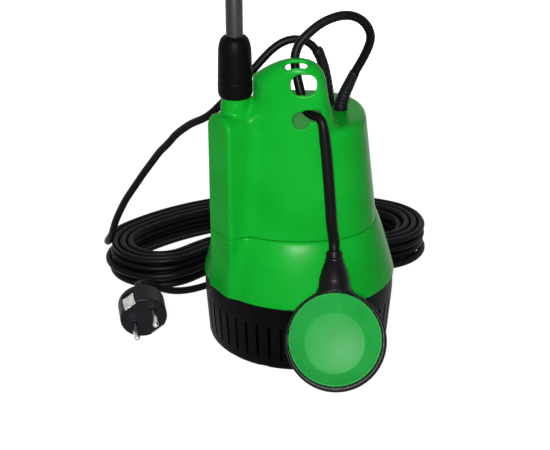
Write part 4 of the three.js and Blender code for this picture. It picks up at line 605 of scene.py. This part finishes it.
strainer_turns = [-7.5, -4.67, -2.83, -2.72, 0, 2.72, 2.83, 4.67, 7.5, 10.33, 12.17, 15]
slot_columns = (1, 6, 9)
notch_corners = (3, 4, 5)
strainer_rows = [
    (0, 0), (69.2, 0), (71.1, 0), (72.6, 0.5), (73.3, 1.3), (73.6, 2.5), (74.05, 9), (76.05, 38), (76.2, 41),
    (76.2, 54), (75.8, 54.5), (73.6, 54.6), (73.6, 58.4), (73, 59.2), (70.6, 59.2), (70.6, 52), (73.2, 41),
    (73.05, 38), (71.05, 9), (70.6, 3), (0, 3),
]
OUT_LOW, IN_HIGH = 6, 17
rows = []
for row, (radius, height) in enumerate(strainer_rows):
    ring = []
    for column, degrees in enumerate(strainer_turns):
        turn = math.radians(degrees)
        lift = 1.2 if column in notch_corners and 1 <= row <= 4 else height
        ring.append((radius * math.cos(turn), radius * math.sin(turn), max(height, lift)))
    rows.append(ring)
columns = len(strainer_turns)
points = [p for ring in rows for p in ring]
faces = []
for row in range(len(rows) - 1):
    for column in range(columns - 1):
        if column in slot_columns and row in (OUT_LOW, IN_HIGH):
            continue
        a, b = row * columns + column, (row + 1) * columns + column
        faces.append((a, a + 1, b + 1, b))
for column in slot_columns:
    corners = (OUT_LOW, OUT_LOW + 1, IN_HIGH, IN_HIGH + 1)
    low, high, in_high, in_low = (row * columns + column for row in corners)
    faces += [(low, low + 1, in_low + 1, in_low), (high, in_high, in_high + 1, high + 1),
              (low, in_low, in_high, high), (low + 1, high + 1, in_high + 1, in_low + 1)]
strainer = set_round("strainer_cup", points, faces, 16, 0.0, black, None, bevel=0.3)
pillar = [(6, 2), (6, 59.7), (2.3, 59.7), (2.3, 44), (4.1, 44), (4.1, 2), (6, 2)]


def turned(profile, steps=64, centre=(0, 0)):
    """A turned form from (radius, height) pairs, up the outside first."""
    points, faces = [], []
    count = len(profile)
    for radius, height in profile:
        for j in range(steps):
            turn = j / steps * 2 * math.pi
            points.append((centre[0] + radius * math.cos(turn), centre[1] + radius * math.sin(turn), height))
    for i in range(count - 1):
        for j in range(steps):
            k = (j + 1) % steps
            faces.append((i * steps + j, i * steps + k, (i + 1) * steps + k, (i + 1) * steps + j))
    return points, faces


def eased(profile, radius=0.6, steps=3):
    """The same outline with its corners rounded."""
    p = np.array(profile, float)
    closed = np.allclose(p[0], p[-1])
    out = [] if closed else [p[0]]
    corners = range(len(p) - 1) if closed else range(1, len(p) - 1)
    for i in corners:
        before, here, after = p[i - 1] if i else p[-2], p[i], p[i + 1]
        a, b = (here + way * min(radius / np.linalg.norm(way), 0.45) for way in (before - here, after - here))
        for t in np.linspace(0, 1, steps + 1):
            out.append(a * (1 - t) ** 2 + 2 * here * t * (1 - t) + b * t * t)
    out.append(out[0] if closed else p[-1])
    return [tuple(q) for q in out]


points, faces = turned(eased(pillar, 0.3, 1), 24)
points = [(x + PILLAR_DISTANCE, y, z) for x, y, z in points]
pillars = set_round("strainer_pillars", points, faces, 4, SCREW_START, black)
holes = set_round("pillar_holes", *turned([(0, -1), (4.1, -1), (4.1, 3.5), (0, 3.5)], 24), 1, 0, black, None)
holes.data.transform(Matrix.Translation((PILLAR_DISTANCE / 1000, 0, 0)))
for i in range(4):
    drill = holes.copy()
    drill.data = holes.data.copy()
    drill.data.transform(Matrix.Rotation(SCREW_START + i * math.pi / 2, 4, "Z"))
    bpy.context.scene.collection.objects.link(drill)
    bore = strainer.modifiers.new("hole", "BOOLEAN")
    bore.operation = "DIFFERENCE"
    bore.object = drill
    bpy.context.view_layer.update()
    ready = strainer.evaluated_get(bpy.context.evaluated_depsgraph_get())
    drilled = bpy.data.meshes.new_from_object(ready)
    strainer.modifiers.remove(bore)
    strainer.data = drilled
    bpy.data.objects.remove(drill)
bpy.data.objects.remove(holes)
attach(strainer, "pump")
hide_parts("strainer_base")

# Discharge: a black coupling pushed over the neck, with a ring line round its waist, and the grey
# metal riser tube that stands in it.
coupling = [
    (10.7, 211.5), (11.6, 211.5), (12.8, 214.5), (12.8, 223.7), (12.35, 224), (12.35, 224.6), (12.7, 225),
    (12.1, 247), (11.4, 251.5), (10.2, 254.8), (8.2, 257), (6.6, 257), (6.6, 226), (10.7, 226), (10.7, 211.5),
]
points, faces = turned(eased(coupling, 0.9), 72, (neck_x, neck_y))
connector = new_piece("discharge_coupling", points, faces, black, "pump")
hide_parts("hose_connector")
grey_tube = finish_of("riser_metal", tint(36, 35, 38), tint(54, 52, 56), 0.36, patch=0.02, grain=0.0006,
                      depth=0.00002, metal=0.6, stretch=(1, 1, 0.15))
points, faces = turned(eased([(5.1, 226), (6.3, 226), (6.3, 292), (5.1, 292), (5.1, 226)], 0.3), 72,
                       (neck_x, neck_y))
riser = new_piece("riser", points, faces, grey_tube, "pump")
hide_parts("riser_tube")

# Float: a sealed black shell with a dished green lid welded into its face. It hangs on its cable and
# leans back on the skirt.
FLOAT_CENTRE = np.array([24.8, -98.7, 43.4])
FLOAT_LEAN = math.radians(29)
FLOAT_RADIUS, FLOAT_HALF = 37.6, 11
float_black = finish_of("float_moulding", tint(7, 6, 9), tint(15, 12, 17), 0.38, patch=0.03, grain=0.0014,
                        depth=0.00005, shine=0.08)
float_green = finish_of("float_lid_moulding", tint(32, 162, 62), tint(48, 174, 78), 0.42, patch=0.03,
                        grain=0.0016, depth=0.00004, shine=0.07, rough_spread=0.04)


def leaning(points):
    """Places in the upright float, as they are when it leans."""
    p = np.asarray(points, float)
    c, s = math.cos(FLOAT_LEAN), math.sin(FLOAT_LEAN)
    return FLOAT_CENTRE + np.stack([p[:, 0], p[:, 1] * c + p[:, 2] * s, p[:, 2] * c - p[:, 1] * s], axis=1)


def shell_form(x, y, z):
    away = np.hypot(x, z)
    outer = np.hypot(x - 0.6, z + 1.1)
    rim = outer - FLOAT_RADIUS
    disc = np.maximum(kept(rim, y - FLOAT_HALF, 6), kept(rim, -y - FLOAT_HALF, 1.8))
    waist = np.interp(z, [0, 40, 44, 47, 50, 52.5, 55, 58], [11.7, 11.7, 11.4, 10.8, 10, 9.2, 8.2, 7])
    neck = np.hypot(x, y) - waist
    body = merged(disc, kept(kept(neck, z - 58, 0.8), 20 - z, 0.5), 7)
    body = cut(body, np.maximum(away - 34.9, y + FLOAT_HALF - 4.3), 0.4)
    room = kept(away - 32.7, np.abs(y + 0.9) - 8.1, 3)
    return np.maximum(body, -np.maximum(room, -y - 7.2))


points, faces, normals = skin_of(shell_form, (-38, -12, -38), (38, 12, 59), 0.9)
normals = leaning(normals) - FLOAT_CENTRE
float_case = new_piece("float_case", leaning(points), faces, float_black, "float", normals=normals)
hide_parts("float_shell")
lid_rows = [
    (0, 9, -2.8), (20.6, 9, -2.8), (22.8, 8.6, -2.7), (32, 4.3, 0), (34.4, 4.1, 0), (34.6, 3.6, 0),
    (34.6, 0.9, 0), (34.4, 0.4, 0), (33.9, 0.1, 0), (33.3, 0.25, 0), (32.9, 0.7, -0.1), (23.6, 6.3, -2.6),
    (22.9, 6.75, -2.75), (22.2, 7, -2.8), (0, 7, -2.8),
]
LID_STEPS = 96
points, faces = [], []
for radius, depth, drop in lid_rows:
    for j in range(LID_STEPS):
        turn = j / LID_STEPS * 2 * math.pi
        points.append((radius * math.cos(turn), depth - FLOAT_HALF, radius * math.sin(turn) + drop))
for i in range(len(lid_rows) - 1):
    here, there = i * LID_STEPS, (i + 1) * LID_STEPS
    for j in range(LID_STEPS):
        k = (j + 1) % LID_STEPS
        faces.append((here + j, here + k, there + k, there + j))
lid = new_piece("float_face", leaning(points), faces, float_green, "float", crease=24)
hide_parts("float_lid")
collar_rows = [(0, 57.6), (7.1, 57.6), (7.1, 59.4), (6.2, 60.2), (6.1, 65), (5.2, 66), (0, 66)]
points, faces = turned(eased(collar_rows, 0.5), 40)
collar = new_piece("float_collar_ring", leaning(points), faces, float_black, "float")
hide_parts("float_collar")

# Plug: a round black moulded plug with two plated pins, and an earth strip let into each side. It
# lies on the floor at the end of the lead with its pins towards the front.
PLUG_FACE = np.array([-125.6, -24, 18.9])
PLUG_TURN = (Matrix.Rotation(math.radians(12), 3, "Z") @ Matrix.Rotation(math.radians(99), 3, "X")
             @ Matrix.Rotation(math.radians(38), 3, "Z"))
plug_turn = np.array(PLUG_TURN)
plug_black = finish_of("plug_moulding", tint(7, 6, 11), tint(19, 17, 25), 0.45, patch=0.012, grain=0.0009,
                       depth=0.00005, shine=0.12)
pin_metal = finish_of("plated_pins", tint(176, 174, 168), tint(206, 205, 201), 0.22, patch=0.006,
                      grain=0.0005, depth=0.00001, metal=1.0)


def lying(points):
    return PLUG_FACE + np.asarray(points, float) @ plug_turn.T


def plug_form(x, y, z):
    away = np.hypot(x, y)
    body = kept(away - np.interp(z, [-34, -28, -24, -20, 0], [8, 9.2, 14.5, 19, 19]), z, 1.5)
    body = kept(body, -34 - z, 1)
    for side in (-1, 1):
        notch = kept(np.abs(x) - 6, np.abs(y - side * 19.4) - 3.2, 0.4)
        body = cut(body, np.maximum(notch, -z - 15.9), 0.6)
        body = cut(body, np.maximum(np.hypot(x - side * 9.5, y) - 2.7, -9.8 - z), 0.4)
    return body


points, faces, normals = skin_of(plug_form, (-20, -20, -35), (20, 20, 1), 0.7)
plug = new_piece("mains_plug", lying(points), faces, plug_black, "pump", normals=normals @ plug_turn.T)
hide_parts("plug_body")
plug_metal = []
for i, side in enumerate((-1, 1)):
    points, faces = turned(eased([(0, -9.5), (2.4, -9.5), (2.4, 17.2), (1.3, 19), (0, 19)], 0.7), 32)
    pin = new_piece(f"contact_pin_{i + 1}", lying([(x + side * 9.5, y, z) for x, y, z in points]), faces,
                    pin_metal, "pump")
    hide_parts(f"plug_pin_{i + 1}")
    strip = [(-15, 16.3), (-15, 17.5), (-11, 18.4), (-7.5, 18.7), (-4, 18.4), (0, 17.5), (0, 16.3),
             (-4, 17.2), (-7.5, 17.5), (-11, 17.2), (-15, 16.3)]
    outline = eased(strip, 0.4, 2)[:-1]
    count = len(outline)
    points = [(w, side * y, z) for w in (-5.4, -5, 5, 5.4) for z, y in outline]
    faces = []
    for first in (0, count, 2 * count):
        for j in range(count):
            k = (j + 1) % count
            faces.append((first + j, first + k, first + count + k, first + count + j))
    faces += [tuple(range(count))[::-1], tuple(range(3 * count, 4 * count))]
    clip = new_piece(f"earth_strip_{i + 1}", lying(points), faces, pin_metal, None)
    work = bmesh.new()
    work.from_mesh(clip.data)
    bmesh.ops.recalc_face_normals(work, faces=work.faces)
    work.to_mesh(clip.data)
    work.free()
    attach(clip, "pump")
    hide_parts(f"plug_clip_{2 - i}")
    plug_metal += [pin, clip]

# Screws: stainless socket heads. Four come up through the strainer's pillars, four hold the
# casing down, and four small ones close the suction cover.
screw_steel = finish_of("screw_steel", tint(170, 172, 176), tint(196, 198, 202), 0.28, patch=0.004,
                        grain=0.0004, depth=0.00001, metal=1.0)
for name, radius, length, distance, seat, start, node in (
    ("strainer_screws", 2, 23, PILLAR_DISTANCE, 43.7, SCREW_START, "base_screw"),
    ("casing_screws", 2, 47.5, SCREW_DISTANCE, 59.7, SCREW_START, "housing_screw"),
    ("cover_screws", 1.6, 13, 46.2, 25.4, SCREW_START + math.pi / 8, "cover_screw"),
):
    head = radius * 1.9
    outline = [(head * 0.42, seat - 2.6), (head, seat - 2.6), (head, seat), (radius, seat),
               (radius, seat + length - 0.6), (radius - 0.6, seat + length), (0, seat + length)]
    points, faces = turned(eased(outline, 0.25, 2), 24)
    socket, sides = turned([(0, seat - 1.2), (head * 0.42, seat - 1.2), (head * 0.42, seat - 2.6)], 24)
    sides = [tuple(reversed(f)) for f in sides]
    faces += [tuple(v + len(points) for v in f) for f in sides]
    points += socket
    points = [(x + distance, y, z) for x, y, z in points]
    screws = set_round(name, points, faces, 4, start, screw_steel)
    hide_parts(*(f"{node}_{i + 1}" for i in range(4)))

# Works inside: the motor, the pump's wet end and the switch keep the frame's own solids, and each
# takes the finish of its material.
steel = finish_of("drawn_steel", tint(150, 152, 156), tint(182, 184, 188), 0.34, patch=0.02, grain=0.0006,
                  depth=0.00002, metal=1.0, stretch=(1, 1, 0.2))
alloy = finish_of("cast_alloy", tint(132, 135, 138), tint(160, 163, 166), 0.55, patch=0.006, grain=0.0007,
                  depth=0.00012, metal=0.9)
laminate = finish_of("core_sheets", tint(84, 88, 93), tint(124, 128, 134), 0.5, patch=0.01, grain=0.0005,
                     depth=0.00003, metal=0.85, bands=("Z", 0.0005))
copper = finish_of("wound_copper", tint(150, 78, 34), tint(202, 116, 58), 0.4, patch=0.01, grain=0.0006,
                   depth=0.00005, metal=0.9, bands=("Z", 0.0009))
white = finish_of("white_moulding", tint(206, 206, 198), tint(226, 226, 220), 0.45, patch=0.02, grain=0.0012,
                  depth=0.00003)
ring_rubber = finish_of("ring_rubber", tint(12, 12, 12), tint(26, 26, 26), 0.7, patch=0.008, grain=0.0005,
                        depth=0.00006, shine=0.3)
inner_finishes = {
    "housing_seal": (ring_rubber, "seal_rubber"), "hose_seal": (ring_rubber, "seal_rubber"),
    "shaft_seal": (ring_rubber, "seal_rubber"), "volute_casing": (black, "black_plastic"),
    "suction_cover": (black, "black_plastic"), "impeller": (white, "white_plastic"),
    "impeller_nut": (steel, "steel"), "motor_flange": (alloy, "cast_alloy"),
    "lower_bearing": (steel, "steel"),
    "upper_bearing": (steel, "steel"), "motor_can": (steel, "steel"), "motor_shaft": (steel, "steel"),
    "stator_core": (laminate, "laminate"), "rotor_core": (laminate, "laminate"),
    "winding_lower": (copper, "copper"), "winding_upper": (copper, "copper"),
    "capacitor": (white, "white_plastic"), "float_switch_carrier": (white, "white_plastic"),
    "float_ball": (steel, "steel"),
}
for node, (finish, slot) in inner_finishes.items():
    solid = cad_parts[node]
    solid.data.materials.clear()
    solid.data.materials.append(finish)

# Studio: a white room with two lamps by the camera, one of them for shine alone, a lamp behind, and a
# weak light from all sides. Floor and room show plain white, and the floor keeps the pump's shadow.
FILL_LIGHT = 0.06
FLOOR_HALF, FLOOR_DROP = 6, 0.0002
FLOOR_TINT = (0.35, 0.35, 0.35, 1)


def plain_rays(nodes, links, *kinds):
    """One for the rays of these kinds, and nothing for the others."""
    path = nodes.new("ShaderNodeLightPath")
    result = path.outputs[kinds[0]]
    for kind in kinds[1:]:
        either = nodes.new("ShaderNodeMath")
        either.operation = "MAXIMUM"
        links.new(result, either.inputs[0])
        links.new(path.outputs[kind], either.inputs[1])
        result = either.outputs[0]
    return result


def disc_lamp(name, size, energy, place, turn):
    lamp = bpy.data.lights.new(name, "AREA")
    lamp.shape = "DISK"
    lamp.size = size
    lamp.energy = energy
    stand = bpy.data.objects.new(name, lamp)
    stand.location = place
    stand.rotation_euler = [math.radians(angle) for angle in turn]
    bpy.context.scene.collection.objects.link(stand)
    return stand


room = bpy.data.worlds.new("white_room")
bpy.context.scene.world = room
room.use_nodes = True
nodes, links = room.node_tree.nodes, room.node_tree.links
nodes.clear()
choice = nodes.new("ShaderNodeMixShader")
seen = plain_rays(nodes, links, "Is Camera Ray", "Is Glossy Ray", "Is Transmission Ray")
links.new(seen, choice.inputs["Fac"])
for slot, strength in ((1, FILL_LIGHT), (2, 1)):
    shade = nodes.new("ShaderNodeBackground")
    shade.inputs["Color"].default_value = (1, 1, 1, 1)
    shade.inputs["Strength"].default_value = strength
    links.new(shade.outputs["Background"], choice.inputs[slot])
world_out = nodes.new("ShaderNodeOutputWorld")
links.new(choice.outputs["Shader"], world_out.inputs["Surface"])
corners = [(x * FLOOR_HALF, y * FLOOR_HALF, -FLOOR_DROP) for x, y in ((-1, -1), (1, -1), (1, 1), (-1, 1))]
floor_mesh = bpy.data.meshes.new("floor")
floor_mesh.from_pydata(corners, [], [(0, 1, 2, 3)])
floor = bpy.data.objects.new("floor", floor_mesh)
bpy.context.scene.collection.objects.link(floor)
pale = bpy.data.materials.new("pale_floor")
pale.use_nodes = True
nodes, links = pale.node_tree.nodes, pale.node_tree.links
shader = nodes["Principled BSDF"]
shader.inputs["Base Color"].default_value = FLOOR_TINT
shader.inputs["Roughness"].default_value = 0.9
shader.inputs["Specular IOR Level"].default_value = 0
spot = nodes.new("ShaderNodeTexCoord")
far_off = nodes.new("ShaderNodeVectorMath")
far_off.operation = "LENGTH"
brighter = nodes.new("ShaderNodeMapRange")
brighter.interpolation_type = "SMOOTHSTEP"
for name, value in (("From Min", 0.25), ("From Max", 0.7), ("To Min", 0.9), ("To Max", 1)):
    brighter.inputs[name].default_value = value
glow = nodes.new("ShaderNodeEmission")
dark = nodes.new("ShaderNodeEmission")
dark.inputs["Strength"].default_value = 0
level = nodes.new("ShaderNodeMixShader")
both = nodes.new("ShaderNodeAddShader")
links.new(spot.outputs["Object"], far_off.inputs[0])
links.new(far_off.outputs["Value"], brighter.inputs["Value"])
links.new(brighter.outputs["Result"], glow.inputs["Strength"])
links.new(plain_rays(nodes, links, "Is Camera Ray", "Is Glossy Ray"), level.inputs["Fac"])
links.new(dark.outputs["Emission"], level.inputs[1])
links.new(glow.outputs["Emission"], level.inputs[2])
links.new(shader.outputs["BSDF"], both.inputs[0])
links.new(level.outputs["Shader"], both.inputs[1])
links.new(both.outputs["Shader"], nodes["Material Output"].inputs["Surface"])
floor_mesh.materials.append(pale)
disc_lamp("soft_lamp", 0.16, 9.4, (-0.04, -1.0, 0.56), (67, 0, -2))
shine_lamp = disc_lamp("shine_lamp", 0.16, 18, (-0.02, -0.98, 0.62), (64, 0, -1))
shine_lamp.visible_diffuse = False
back_lamp = disc_lamp("back_lamp", 0.5, 8, (0.1, 1.25, 0.42), (-76, 0, 0))
back_lamp.visible_glossy = False
